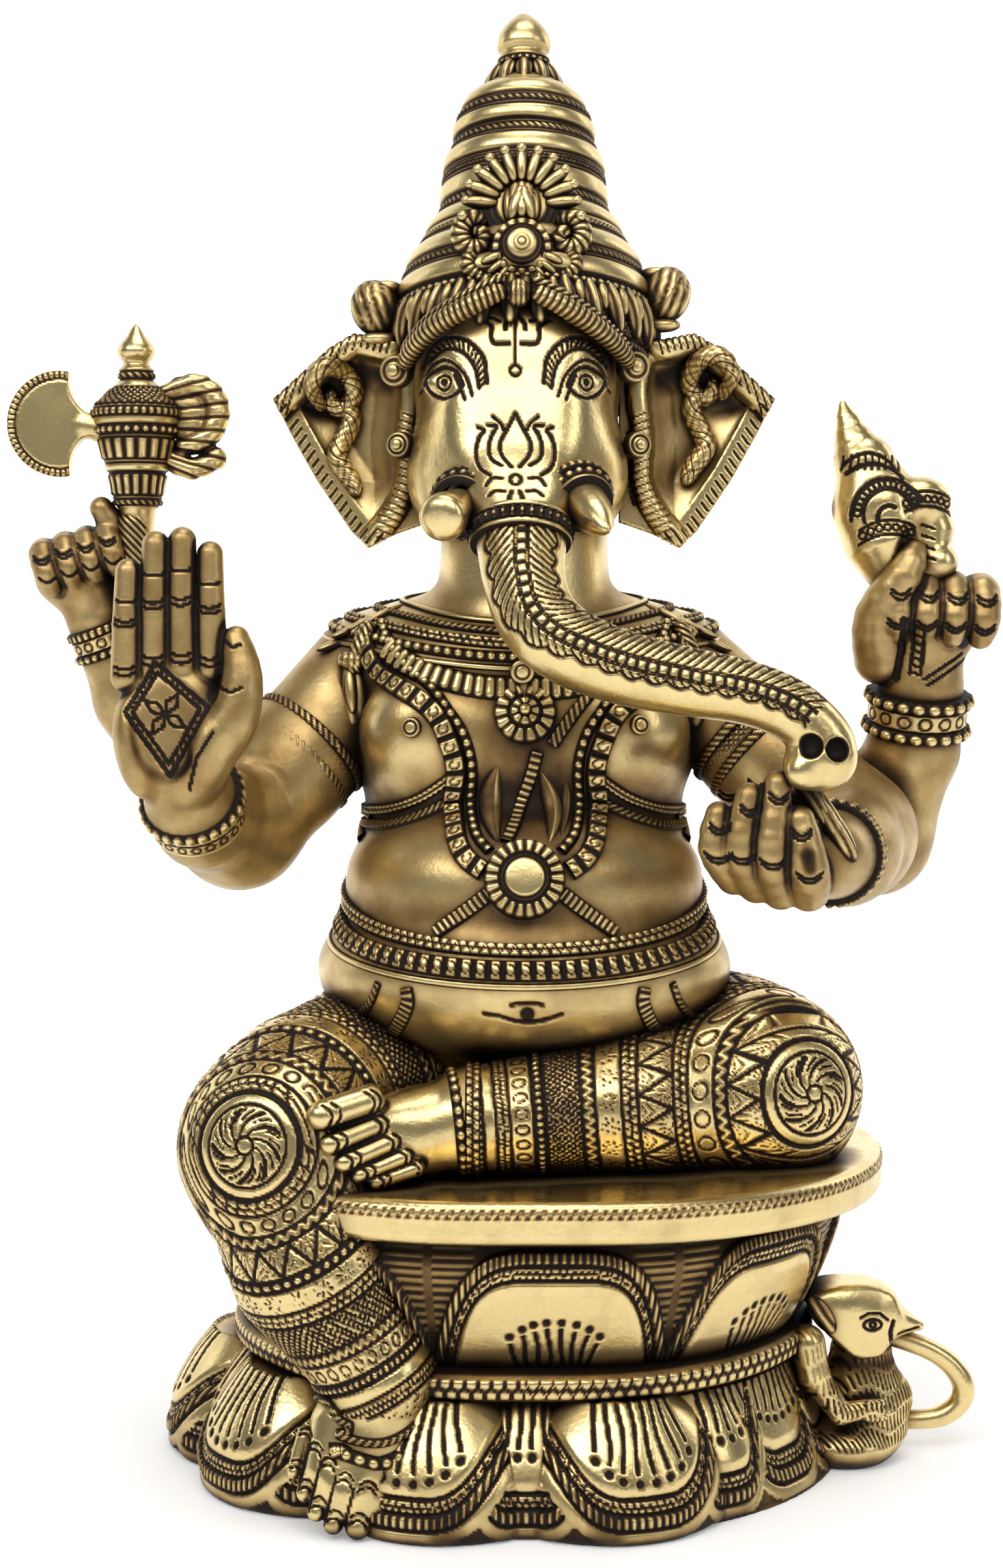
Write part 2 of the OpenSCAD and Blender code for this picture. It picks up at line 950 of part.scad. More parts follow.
lotus_base();
lotus_rope_band();
lotus_drum();
seat_slab();
mouse_body();
mouse_head();
mouse_ears();
mouse_tail();
right_thigh();
right_shin();
right_foot();
left_thigh();
left_shin();
left_foot();
anklets();
torso();
waist_belt();
chest_band();
collar_necklace();
garland_chain();
chest_pendant();
belly_medallion();
sacred_cords();
shoulder_tassels();
right_upper_arm();
right_forearm();
blessing_hand();
right_bangle();
right_rear_arm();
right_rear_hand();
right_rear_bangle();
axe();
left_upper_arm();
left_forearm();
offering_hand();
left_bangle();
sweet();
left_rear_arm();
left_rear_hand();
left_rear_bangle();
conch();
armlets();
head();
trunk();
trunk_ring();
right_tusk();
left_tusk();
tusk_collars();
right_ear();
left_ear();
ear_scrolls();
ear_rosettes();
temple_studs();
brow_band();
crown_cap();
crown_tiers();
crown_finial();
crown_plaque();
crown_wheel();
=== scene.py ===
"""Looks of a seated elephant-headed idol in chased, antiqued cast brass.

Forms are modelled as clay, a grid of distances that is turned into a mesh, and chased
with raised and engraved work. All lengths here are millimetres until a piece is made.
"""

import math

import bpy
import numpy as np
import openvdb
from mathutils import Euler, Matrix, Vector


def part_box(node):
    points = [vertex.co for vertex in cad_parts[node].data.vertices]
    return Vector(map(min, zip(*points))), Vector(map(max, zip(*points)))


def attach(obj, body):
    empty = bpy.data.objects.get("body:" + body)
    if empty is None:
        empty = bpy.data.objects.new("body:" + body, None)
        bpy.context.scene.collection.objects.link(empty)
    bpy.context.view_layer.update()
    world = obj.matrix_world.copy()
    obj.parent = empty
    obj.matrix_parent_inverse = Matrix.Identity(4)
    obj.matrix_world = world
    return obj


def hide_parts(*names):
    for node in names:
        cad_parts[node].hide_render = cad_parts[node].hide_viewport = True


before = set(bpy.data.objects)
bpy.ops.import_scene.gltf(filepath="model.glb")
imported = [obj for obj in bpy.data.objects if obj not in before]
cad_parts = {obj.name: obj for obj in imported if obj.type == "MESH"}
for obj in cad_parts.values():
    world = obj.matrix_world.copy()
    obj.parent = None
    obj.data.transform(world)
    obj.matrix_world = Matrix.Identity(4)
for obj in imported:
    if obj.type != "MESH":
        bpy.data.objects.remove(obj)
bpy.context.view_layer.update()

COARSEN = 1.0
FAR = 6.0
POLISHED = "polished_brass"
CHASED = "chased_brass"


def box_mm(node):
    """A CAD node's lowest and highest corners."""
    low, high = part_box(node)
    return np.array(low) * 1000.0, np.array(high) * 1000.0


slab_low, slab_high = box_mm("seat_slab")
AXIS_X = (slab_low[0] + slab_high[0]) / 2 - 3.0
SEAT_Z = slab_high[2]


def at(x, y, z):
    """A point of the figure: x from its axis, z from the top of the seat."""
    return np.array([AXIS_X + x, y, SEAT_Z + z], float)


# ---- shapes that are pressed on to clay ------------------------------------------


class Form:
    """A shape: the corners it lies between, and its distance at x, y and z."""

    def __init__(self, low, high, distance):
        self.low = np.asarray(low, float)
        self.high = np.asarray(high, float)
        self.distance = distance


def limb(a, ra, b, rb):
    """A round bar from a to b whose radius goes from ra to rb."""
    a, b = np.asarray(a, float), np.asarray(b, float)
    d = b - a
    length = max(d @ d, 1e-9)

    def distance(x, y, z):
        x, y, z = x - a[0], y - a[1], z - a[2]
        s = np.clip((x * d[0] + y * d[1] + z * d[2]) / length, 0, 1)
        gap = (x - s * d[0]) ** 2 + (y - s * d[1]) ** 2 + (z - s * d[2]) ** 2
        return np.sqrt(gap) - (ra + (rb - ra) * s)

    return Form(np.minimum(a - ra, b - rb), np.maximum(a + ra, b + rb), distance)


def ball(p, r):
    return limb(p, r, p, r)


def below(level):
    """Everything under a level."""
    return Form((-200, -200, level - 200), (200, 200, level), lambda x, y, z: z - level)


def egg(p, radii, turn=(0, 0, 0)):
    """An ellipsoid at p, turned by so many degrees about x, y and z."""
    m = np.array(Euler([math.radians(t) for t in turn]).to_matrix())
    r = np.asarray(radii, float)
    reach = np.sqrt((m**2) @ (r**2))

    def distance(x, y, z):
        x, y, z = x - p[0], y - p[1], z - p[2]
        near, steep = 0.0, 1e-9
        for i in range(3):
            w = (x * m[0, i] + y * m[1, i] + z * m[2, i]) / r[i]
            near = near + w * w
            steep = steep + (w / r[i]) ** 2
        near = np.sqrt(near)
        return near * (near - 1) / np.sqrt(steep)

    return Form(p - reach, p + reach, distance)


def soft_min(a, b, blend):
    """The smaller of two distances, rounded where they meet."""
    if blend <= 0:
        return np.minimum(a, b)
    h = np.clip(0.5 + 0.5 * (b - a) / blend, 0.0, 1.0)
    return b + (a - b) * h - blend * h * (1.0 - h)


def curve(points, step):
    """Points about a step apart on the smooth curve through the given ones."""
    p = np.asarray(points, float)
    ends = np.vstack([2 * p[0] - p[1], p, 2 * p[-1] - p[-2]])
    out = []
    for i in range(len(p) - 1):
        a, b, c, d = ends[i : i + 4]
        count = max(2, int(np.linalg.norm((c - b)[:3]) / step) + 1)
        t = np.linspace(0, 1, count, endpoint=False)[:, None]
        out.append(
            0.5 * (2 * b + (c - a) * t + (2 * a - 5 * b + 4 * c - d) * t**2
                   + (3 * b - a - 3 * c + d) * t**3)
        )
    out.append(p[-1:])
    return np.vstack(out)


def even(points, step):
    """The same path with its points evenly spaced."""
    gaps = np.linalg.norm(np.diff(points[:, :3], axis=0), axis=1)
    run = np.concatenate([[0], np.cumsum(gaps)])
    count = max(3, int(run[-1] / step) + 1)
    where = np.linspace(0, run[-1], count)
    columns = [np.interp(where, run, points[:, i]) for i in range(points.shape[1])]
    return np.stack(columns, 1), where


class Clay:
    """A block of clay: distances on a grid, negative inside."""

    def __init__(self, low, high, step):
        self.step = step * COARSEN
        self.low = np.asarray(low, float)
        size = (np.asarray(high, float) - self.low) / self.step
        self.field = np.full(np.ceil(size).astype(int) + 1, FAR, np.float32)

    def part(self, form, spare):
        """The cells round a form, and their x, y and z."""
        low = np.floor((form.low - spare - self.low) / self.step).astype(int)
        high = np.ceil((form.high + spare - self.low) / self.step).astype(int) + 1
        low = np.clip(low, 0, None)
        high = np.minimum(high, self.field.shape)
        xyz = []
        for i in range(3):
            line = self.low[i] + self.step * np.arange(low[i], high[i])
            shape = [1, 1, 1]
            shape[i] = -1
            xyz.append(line.astype(np.float32).reshape(shape))
        return tuple(slice(a, b) for a, b in zip(low, high)), xyz

    def add(self, form, blend=0.0):
        """Press a form on, with a fillet about as wide as the blend."""
        cells, xyz = self.part(form, blend + 2 * self.step + 1)
        if self.field[cells].size:
            self.field[cells] = soft_min(self.field[cells], form.distance(*xyz), blend)

    def cut(self, form, blend=0.0):
        """Take a form away."""
        cells, xyz = self.part(form, blend + 2 * self.step + 1)
        if self.field[cells].size:
            self.field[cells] = -soft_min(-self.field[cells], form.distance(*xyz), blend)

    def add_tube(self, points, radii, blend=1.0, step=4.0):
        """A smooth tube through the points, with a radius at each of them."""
        route = curve(np.column_stack([points, radii]), step)
        for a, b in zip(route[:-1], route[1:]):
            self.add(limb(a[:3], a[3], b[:3], b[3]), blend)

    def sample(self, points):
        """The distance at each point."""
        place = (points - self.low) / self.step
        place = np.clip(place, 0, np.array(self.field.shape) - 1.001)
        i, j, k = place.astype(int).T
        u, v, w = (place - place.astype(int)).T
        f = self.field
        near = (f[i, j, k] * (1 - w) + f[i, j, k + 1] * w) * (1 - v)
        near += (f[i, j + 1, k] * (1 - w) + f[i, j + 1, k + 1] * w) * v
        i = i + 1
        far = (f[i, j, k] * (1 - w) + f[i, j, k + 1] * w) * (1 - v)
        far += (f[i, j + 1, k] * (1 - w) + f[i, j + 1, k + 1] * w) * v
        return near * (1 - u) + far * u

    def facing(self, points):
        """The outward direction at each point."""
        reach = self.step * 1.2
        out = np.empty_like(points)
        for i in range(3):
            off = np.zeros(3)
            off[i] = reach
            out[:, i] = self.sample(points + off) - self.sample(points - off)
        return out / np.maximum(np.linalg.norm(out, axis=1), 1e-6)[:, None]

    def settle(self, points, rounds=4):
        """The points, moved on to the clay's surface."""
        for _ in range(rounds):
            points = points - self.facing(points) * self.sample(points)[:, None]
        return points

    def land(self, points, way):
        """Where points that travel in a direction first meet the clay."""
        way = np.asarray(way, float)
        way = way / np.linalg.norm(way, axis=-1, keepdims=True)
        for _ in range(60):
            points = points + way * np.clip(self.sample(points), -2, 4)[:, None] * 0.8
        return points

    def land_front(self, x, z, start=-90.0):
        """Where the clay is met from the front at x and z."""
        x, z = np.broadcast_arrays(np.asarray(x, float), np.asarray(z, float))
        points = np.stack([x, np.full(x.shape, max(start, self.low[1] + 1)), z], 1)
        return self.land(points, (0, 1, 0))

    def surface(self):
        """The points and quads of the clay's skin."""
        grid = openvdb.FloatGrid(background=FAR)
        grid.copyFromArray(self.field)
        points, quads = grid.convertToQuads(isovalue=0.0)
        return points * self.step + self.low, quads


# ---- meshes ----------------------------------------------------------------------


def make_piece(name, points, quads, patina_and_shade, finish, nodes):
    """A mesh from points and quads, with how dark its patina and painted shade are at each point."""
    mesh = bpy.data.meshes.new(name)
    mesh.vertices.add(len(points))
    mesh.vertices.foreach_set("co", (np.asarray(points) / 1000).astype(np.float32).ravel())
    mesh.loops.add(quads.size)
    mesh.loops.foreach_set("vertex_index", quads.astype(np.int32).ravel())
    mesh.polygons.add(len(quads))
    mesh.polygons.foreach_set("loop_start", np.arange(0, quads.size, 4, dtype=np.int32))
    mesh.update(calc_edges=True)
    mesh.validate()
    mesh.polygons.foreach_set("use_smooth", np.ones(len(mesh.polygons), bool))
    layer = mesh.attributes.new("patina_and_shade", "FLOAT", "POINT")
    layer.data.foreach_set("value", np.asarray(patina_and_shade, np.float32).ravel())
    mesh.materials.append(finishes[finish])
    piece = bpy.data.objects.new(name, mesh)
    bpy.context.scene.collection.objects.link(piece)
    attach(piece, "root")
    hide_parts(*nodes)
    return piece


def cast(name, clay, nodes, finish=POLISHED, chase=None, reach=2.0):
    """A piece from clay, after chasing it and darkening its hollows."""
    points, quads = clay.surface()
    facing = clay.facing(points)
    hollow = 1 - clay.sample(points + reach * facing) / reach
    patina_and_shade = np.clip((hollow - 0.12) * 1.5, 0, 1)
    if chase:
        lift, dark = chase(points, facing)
        points = points + facing * lift[:, None]
        patina_and_shade = np.clip(patina_and_shade + dark, 0, 1)
    return make_piece(name, points, quads, patina_and_shade, finish, nodes)


class Heap:
    """Sheets and beads gathered into one piece."""

    def __init__(self):
        self.points, self.quads, self.patina_and_shade = [], [], []
        self.count = 0

    def sheet(self, points, patina_and_shade, ring=False):
        """A grid of points, joined end to start along its first side if it is a ring."""
        rows, cols = points.shape[:2]
        index = np.arange(rows * cols).reshape(rows, cols) + self.count
        if ring:
            index = np.vstack([index, index[:1]])
        corners = [index[:-1, :-1], index[:-1, 1:], index[1:, 1:], index[1:, :-1]]
        self.quads.append(np.stack(corners, -1).reshape(-1, 4))
        self.points.append(points.reshape(-1, 3))
        self.patina_and_shade.append(np.broadcast_to(patina_and_shade, (rows, cols)).ravel())
        self.count += rows * cols

    def bead(self, p, r, facing=(0, -1, 0), flat=0.8, fine=12):
        """A round bead, flattened along the way it faces."""
        out = Vector(facing).normalized()
        turn = np.array(out.to_track_quat("Z", "Y").to_matrix())
        a = np.linspace(0, 2 * np.pi, fine, endpoint=False)[:, None]
        b = np.linspace(np.pi * 0.97, 0.03, fine // 2 + 1)[None, :]
        local = np.stack([np.cos(a) * np.sin(b), np.sin(a) * np.sin(b), flat * np.cos(b) + 0 * a], -1)
        dark = np.clip(0.9 - 1.6 * np.cos(b), 0, 1) + 0 * a
        self.sheet(np.asarray(p) + r * local @ turn.T, dark, ring=True)

    def piece(self, name, nodes, finish=CHASED):
        return make_piece(
            name, np.vstack(self.points), np.vstack(self.quads),
            np.concatenate(self.patina_and_shade), finish, nodes,
        )


# ---- chasing patterns ------------------------------------------------------------
# Each takes u along a band and v across it, both in millimetres, and the band's half
# width, and gives how far the work is raised and how dark its patina is.


def edge(v, half, soft=0.35):
    """1 inside the band, falling to 0 at its edges."""
    return np.clip((half - np.abs(v)) / soft, 0, 1)


def line(distance, width=0.35):
    """An engraved line: 1 on it, 0 away from it."""
    return np.clip(1 - (distance / width) ** 2, 0, 1)


def plain(u, v, half):
    """No work at all."""
    return 0 * u * v, 0 * u * v


def milled(u, v, half, pitch=1.9, slant=0.0, depth=0.5):
    """Close ridges across a band, like the edge of a coin."""
    wave = 0.5 + 0.5 * np.cos(2 * np.pi * (u + slant * v) / pitch)
    inside = edge(v, half)
    return (depth * wave**0.6 - 0.15) * inside, (0.95 * (1 - wave) ** 1.6) * inside + 0.5 * (1 - inside)


def milling(pitch, slant=0.0, depth=0.5):
    """Milled work with its own pitch."""
    return lambda u, v, half: milled(u, v, half, pitch, slant, depth)


def lip(u, v, half):
    """A smooth rounded moulding."""
    rise = np.sqrt(np.clip(1 - (v / half) ** 2, 0, 1)) + 0 * u
    return 0.9 * rise - 0.3, np.clip(0.9 - 1.9 * rise, 0, 1)


def rope(u, v, half):
    """Slanting ridges, like a twisted cord."""
    return milled(u, v, half, pitch=1.8, slant=0.9)


def beads(u, v, half, gap=0.25):
    """Round beads in a row."""
    size = half * 2
    du = np.mod(u, size) - size / 2
    r = np.sqrt(du**2 + v**2) / (half - gap)
    return 0.75 * half * np.sqrt(np.clip(1 - r**2, 0, 1)) - 0.15, np.clip((r - 0.75) * 3, 0, 1)


def scallops(u, v, half):
    """Two rows of little scales, point to point."""
    pitch = half * 1.3
    lift, dark = 0, 0
    for sign, shift in ((1, 0.0), (-1, 0.5)):
        du = np.mod(u / pitch + shift, 1) - 0.5
        dv = sign * v / half
        r = np.sqrt((du * 1.7) ** 2 + (dv - 0.75) ** 2)
        lift = lift + 0.4 * np.clip(1 - (r / 0.75) ** 2, 0, 1)
        dark = dark + line(r - 0.78, 0.16)
    inside = edge(v, half)
    return lift * inside, np.clip(dark, 0, 0.85) * inside + 0.35 * (1 - inside)


def zigzag(u, v, half):
    """One zigzag ridge."""
    pitch = half * 2.0
    ridge = (np.abs(np.mod(u / pitch, 1) - 0.5) * 4 - 1) * half * 0.75
    off = np.abs(v - ridge)
    return 0.35 * line(off, 0.55 * half), np.clip(off / half * 1.2 - 0.35, 0, 0.8)


def rings(u, v, half):
    """A row of punched rings."""
    size = half * 2.1
    du = np.mod(u, size) - size / 2
    r = np.sqrt(du**2 + v**2)
    mark = line(r - half * 0.62, 0.34)
    return -0.3 * mark + 0.1, 0.9 * mark


def flowers(u, v, half):
    """A row of punched eight-lobed flowers."""
    size = half * 2.3
    du = np.mod(u, size) - size / 2
    r = np.sqrt(du**2 + v**2) / half
    petals = np.abs(np.cos(4 * np.arctan2(v, du)))
    mark = line(petals, 0.35) * (r < 0.85) * (r > 0.2)
    return 0.15 - 0.3 * mark, 0.8 * mark


def hatch(u, v, half, pitch=1.7):
    """Engraved lines that cross."""
    a = np.abs(np.mod((u + v) / pitch, 1) - 0.5) * pitch
    b = np.abs(np.mod((u - v) / pitch, 1) - 0.5) * pitch
    mark = np.maximum(line(a, 0.38), line(b, 0.38))
    return 0.25 - 0.55 * mark, 0.95 * mark


def leaves(u, v, half):
    """Triangles set point to point, each with fanned veins."""
    pitch = half * 1.9
    cell = np.mod(u / pitch, 1) - 0.5
    rise = v / half
    up = np.abs(cell) * 2 - (1 - rise) / 2
    border = line(up * half * 0.7, 0.4)
    fan = np.arctan2(cell * 2, np.where(up < 0, rise + 1.15, 1.15 - rise) + 1e-3)
    veins = line(np.abs(np.mod(fan * 3.2, 1) - 0.5), 0.16)
    mark = np.clip(border + 0.7 * veins, 0, 1)
    return 0.15 - 0.4 * mark, 0.9 * mark


def stack(s, u, bands):
    """Bands laid side by side from s = 0: each is a pattern and its width.

    A thin dark groove runs between every two of them."""
    lift = np.zeros(np.broadcast(s, u).shape)
    dark = np.zeros_like(lift)
    start = 0.0
    for pattern, width in bands:
        half = width / 2
        v = s - start - half
        inside = np.abs(v) <= half
        raised, marked = pattern(u, v, half - 0.25)
        lift = np.where(inside, raised, lift)
        dark = np.where(inside, marked, dark)
        groove = line(s - start, 0.42)
        lift = lift - 0.5 * groove
        dark = np.maximum(dark, groove)
        start += width
    groove = line(s - start, 0.42)
    return lift - 0.5 * groove, np.maximum(dark, groove)


def engrave(points, facing, strokes, depth=0.55, side=(0, -1, 0), axes=(0, 2)):
    """Lines cut where the surface faces a side: each stroke is a path and a width."""
    lift = np.zeros(len(points))
    dark = np.zeros(len(points))
    ready = facing @ np.asarray(side, float) > 0.15
    flat = points[:, axes]
    for path, width in strokes:
        path = np.asarray(path, float)
        low, high = path.min(0) - width, path.max(0) + width
        near = ready & np.all(flat > low, 1) & np.all(flat < high, 1)
        if not near.any():
            continue
        p = flat[near]
        best = np.full(len(p), 1e9)
        for a, b in zip(path[:-1], path[1:]):
            d = b - a
            s = np.clip(((p - a) @ d) / max(d @ d, 1e-9), 0, 1)[:, None]
            best = np.minimum(best, np.linalg.norm(p - a - s * d, axis=1))
        mark = line(best, width)
        lift[near] = np.minimum(lift[near], -depth * mark)
        dark[near] = np.maximum(dark[near], np.sqrt(mark))
    return lift, dark


def strip(heap, clay, path, width, pattern, lift=0.6, ring=False, fine=0.42):
    """A raised band laid on clay along a path, with a pattern worked on it."""
    path = clay.settle(np.asarray(path, float))
    if ring:
        path = np.vstack([path, path[:1]])
    path, run = even(path, fine * COARSEN)
    path = clay.settle(path)
    facing = clay.facing(path)
    along = np.gradient(path, axis=0)
    if ring:
        along[0] = along[-1] = along[0] + along[-1]
    across = np.cross(along, facing)
    across /= np.maximum(np.linalg.norm(across, axis=1), 1e-6)[:, None]
    half = width / 2
    count = max(5, int(width / (fine * COARSEN)) + 1)
    v = np.concatenate([[-half - 0.2], np.linspace(-half, half, count), [half + 0.2]])
    base = path[:, None] + across[:, None] * v[None, :, None]
    flat = clay.settle(base.reshape(-1, 3), 2)
    out = clay.facing(flat).reshape(base.shape)
    base = flat.reshape(base.shape)
    if ring:
        turns = max(1, round(run[-1] / (2 * np.pi)))
        run = run * (turns * 2 * np.pi / run[-1])
    raised, dark = pattern(run[:, None], v[None, :], half)
    rise = (lift + raised) * np.clip((half - np.abs(v)) / 0.3 + 0.4, 0, 1)[None, :]
    rise = np.where(np.abs(v)[None, :] > half, -0.7, rise)
    dark = np.where(np.abs(v)[None, :] >= half - 0.05, 0.9, dark)
    heap.sheet(base + out * rise[..., None], dark)


def hoop(heap, centre, axis, radius, width, pattern, lift=0.8, fine=0.42):
    """A band worn round a limb at centre, lying across its axis."""
    axis = Vector(axis).normalized()
    turn = np.array(axis.to_track_quat("Z", "Y").to_matrix())
    length = 2 * np.pi * radius
    a = np.linspace(0, 2 * np.pi, int(length / (fine * COARSEN)), endpoint=False)
    half = width / 2
    v = np.linspace(-half, half, max(5, int(width / (fine * COARSEN)) + 1))
    v = np.concatenate([[-half - 0.1], v, [half + 0.1]])
    u = a * round(radius)
    raised, dark = pattern(u[:, None], v[None, :], half)
    rise = (lift + raised) * np.clip((half - np.abs(v)) / 0.3 + 0.5, 0, 1)[None, :]
    rise = np.where(np.abs(v)[None, :] > half, -1.5, rise)
    r = radius + rise
    x = r * np.cos(a)[:, None]
    y = r * np.sin(a)[:, None]
    local = np.stack([x, y, np.broadcast_to(v, x.shape)], -1)
    dark = np.where(np.abs(v)[None, :] >= half - 0.05, 0.9, dark)
    heap.sheet(np.asarray(centre) + local @ turn.T, dark, ring=True)


# ---- worked pieces ---------------------------------------------------------------


def cast_parts(clay, parts, chase=None, reach=2.0):
    """Several pieces cut from one clay: each is a name, its nodes, a finish and a mask."""
    points, quads = clay.surface()
    facing = clay.facing(points)
    hollow = 1 - clay.sample(points + reach * facing) / reach
    patina_and_shade = np.clip((hollow - 0.12) * 1.5, 0, 1)
    if chase:
        lift, dark = chase(points, facing)
        points = points + facing * lift[:, None]
        patina_and_shade = np.clip(patina_and_shade + dark, 0, 1)
    free = np.ones(len(quads), bool)
    centres = points[quads].mean(axis=1)
    for name, nodes, finish, mask in parts:
        chosen = free & mask(centres)
        free &= ~chosen
        used, index = np.unique(quads[chosen], return_inverse=True)
        make_piece(name, points[used], index.reshape(-1, 4), patina_and_shade[used], finish, nodes)


def everything(p):
    """A mask that takes all that is left."""
    return np.ones(len(p), bool)


def basis(facing, up=(0, 0, 1)):
    """Three directions as columns: across, up and outward."""
    out = np.asarray(facing, float)
    out = out / np.linalg.norm(out)
    across = np.cross(up, out)
    across = across / np.linalg.norm(across)
    return np.stack([across, np.cross(out, across), out], 1)


def seed(heap, p, facing, long_way, sizes, veins=0, fine=16):
    """A plump seed or leaf: half its length, width and height, fluted by its veins."""
    m = basis(facing, long_way)
    a = np.linspace(0, 2 * np.pi, fine * 2, endpoint=False)[:, None]
    b = np.linspace(np.pi * 0.97, 0.03, fine)[None, :]
    x = np.cos(a) * np.sin(b) * sizes[1]
    y = np.sin(a) * np.sin(b) * sizes[0]
    z = np.cos(b) * sizes[2] + 0 * a
    dark = np.clip(0.8 - 1.6 * np.cos(b), 0, 1) + 0 * a
    if veins:
        wave = 0.5 + 0.5 * np.cos(2 * np.pi * veins * x / (2 * sizes[1]))
        z = z - 0.12 * sizes[2] * (1 - wave)
        dark = np.clip(dark + 0.7 * (1 - wave) ** 2 * (z > 0), 0, 1)
    local = np.stack([x, y, z], -1)
    heap.sheet(np.asarray(p, float) + local @ m.T, dark, ring=True)


def disc(heap, p, facing, radius, height, shape, fine=0.45, up=(0, 0, 1)):
    """A round ornament: shape(r, a) gives its relief in millimetres and its patina."""
    m = basis(facing, up)
    rows = max(36, int(2 * np.pi * radius / (fine * COARSEN)))
    cols = max(8, int(radius / (fine * COARSEN)) + 2)
    a = np.linspace(0, 2 * np.pi, rows, endpoint=False)[:, None]
    r = np.linspace(1, 0.02, cols)[None, :]
    relief, dark = shape(r + 0 * a, a + 0 * r)
    z = height + relief
    z = np.where(r > 0.97, -1.2, z)
    local = np.stack([radius * r * np.cos(a), radius * r * np.sin(a), z], -1)
    heap.sheet(np.asarray(p, float) + local @ m.T, dark, ring=True)


def fluted(count, inner=0.5, depth=1.0):
    """A relief of flutes round a flat middle, for disc()."""

    def shape(r, a):
        wave = np.abs(np.cos(a * count / 2))
        rim = np.clip((r - inner) / 0.08, 0, 1)
        gap = line(r - inner, 0.07)
        fall = np.clip((1 - r) / (1 - inner), 0, 1)
        relief = rim * depth * (wave**0.5 * (0.4 + 0.6 * fall) - 0.75) - 0.6 * gap
        relief = relief + (1 - rim) * depth * 0.15 * np.cos(np.clip(r / inner, 0, 1) * np.pi / 2)
        dark = np.clip(gap + rim * (1 - wave) ** 2 + np.clip((r - 0.93) * 12, 0, 1), 0, 1)
        return relief, dark

    return shape


def domed(rings_at=(), depth=1.2):
    """A smooth boss with engraved rings, for disc()."""

    def shape(r, a):
        relief = depth * np.sqrt(np.clip(1 - r**2, 0, 1)) - 0.2
        dark = np.clip((r - 0.85) * 6, 0, 1)
        for where in rings_at:
            mark = line(r - where, 0.09)
            relief = relief - 0.4 * mark
            dark = np.maximum(dark, mark)
        return relief, dark

    return shape


def tube(heap, points, radii, pattern=None, fine=0.5):
    """A worked bar with round ends along a smooth route."""
    route = curve(np.column_stack([points, radii]), 1.0)
    route, run = even(route, fine * COARSEN)
    path, size = route[:, :3], route[:, 3]
    along = np.gradient(path, axis=0)
    along /= np.linalg.norm(along, axis=1)[:, None]
    side = np.cross(along[0], (0.3, -0.9, 0.2))
    sides = []
    for way in along:
        side = side - way * (side @ way)
        side = side / np.linalg.norm(side)
        sides.append(side)
    sides = np.array(sides)
    other = np.cross(along, sides)
    count = max(14, int(2 * np.pi * size.max() / (fine * COARSEN)))
    a = np.linspace(0, 2 * np.pi, count, endpoint=False)[:, None]
    width = np.pi * size.max()
    if pattern:
        raised, dark = pattern(run[None, :] + 0 * a, (a - np.pi) / np.pi * width, width + 1)
    else:
        raised, dark = 0 * a * run, 0 * a * run
    r = size[None, :] + raised
    inset = np.minimum(run, run[-1] - run)
    r = r * np.sqrt(np.clip(1 - (1 - np.clip(inset / size, 0, 1)) ** 2, 0.0004, 1))[None, :]
    points = path[None] + r[..., None] * (
        np.cos(a)[..., None] * sides[None] + np.sin(a)[..., None] * other[None]
    )
    heap.sheet(points[::-1], dark[::-1], ring=True)


def turned(heap, foot, axis, profile, bands=(), fine=0.45):
    """A shape turned round an axis: profile rows are height and radius.

    Each band is its lowest and highest height, and the pattern worked between them."""
    m = basis(axis, (0, 1, 0))
    profile = np.asarray(profile, float)
    path = np.column_stack([profile, 0 * profile[:, :1]])
    path, run = even(curve(path, 0.6), fine * COARSEN)
    h, r = path[:, 0], path[:, 1]
    slope = np.gradient(path[:, :2], axis=0)
    slope /= np.maximum(np.linalg.norm(slope, axis=1), 1e-6)[:, None]
    count = max(36, int(2 * np.pi * r.max() / (fine * COARSEN)))
    a = np.linspace(0, 2 * np.pi, count, endpoint=False)[:, None]
    lift = np.zeros((count, len(h)))
    dark = np.zeros_like(lift)
    for low, high, pattern in bands:
        chosen = np.flatnonzero((h >= low) & (h <= high))
        if len(chosen) < 2:
            continue
        first, last = chosen[0], chosen[-1]
        middle, half = (run[first] + run[last]) / 2, (run[last] - run[first]) / 2
        size = max(1, round(r[first : last + 1].mean()))
        raised, marked = pattern(a * size, (run - middle)[None, first : last + 1], half)
        lift[:, first : last + 1] += raised
        dark[:, first : last + 1] = np.maximum(dark[:, first : last + 1], marked)
        for where in (run[first], run[last]):
            groove = line(run - where, 0.5)[None, :]
            lift -= 0.4 * groove
            dark = np.maximum(dark, groove)
    radius = np.maximum(r[None, :] + lift * slope[None, :, 0], 0.02)
    height = h[None, :] - lift * slope[None, :, 1]
    local = np.stack([radius * np.cos(a), radius * np.sin(a), height], -1)
    heap.sheet((np.asarray(foot, float) + local @ m.T), dark, ring=True)


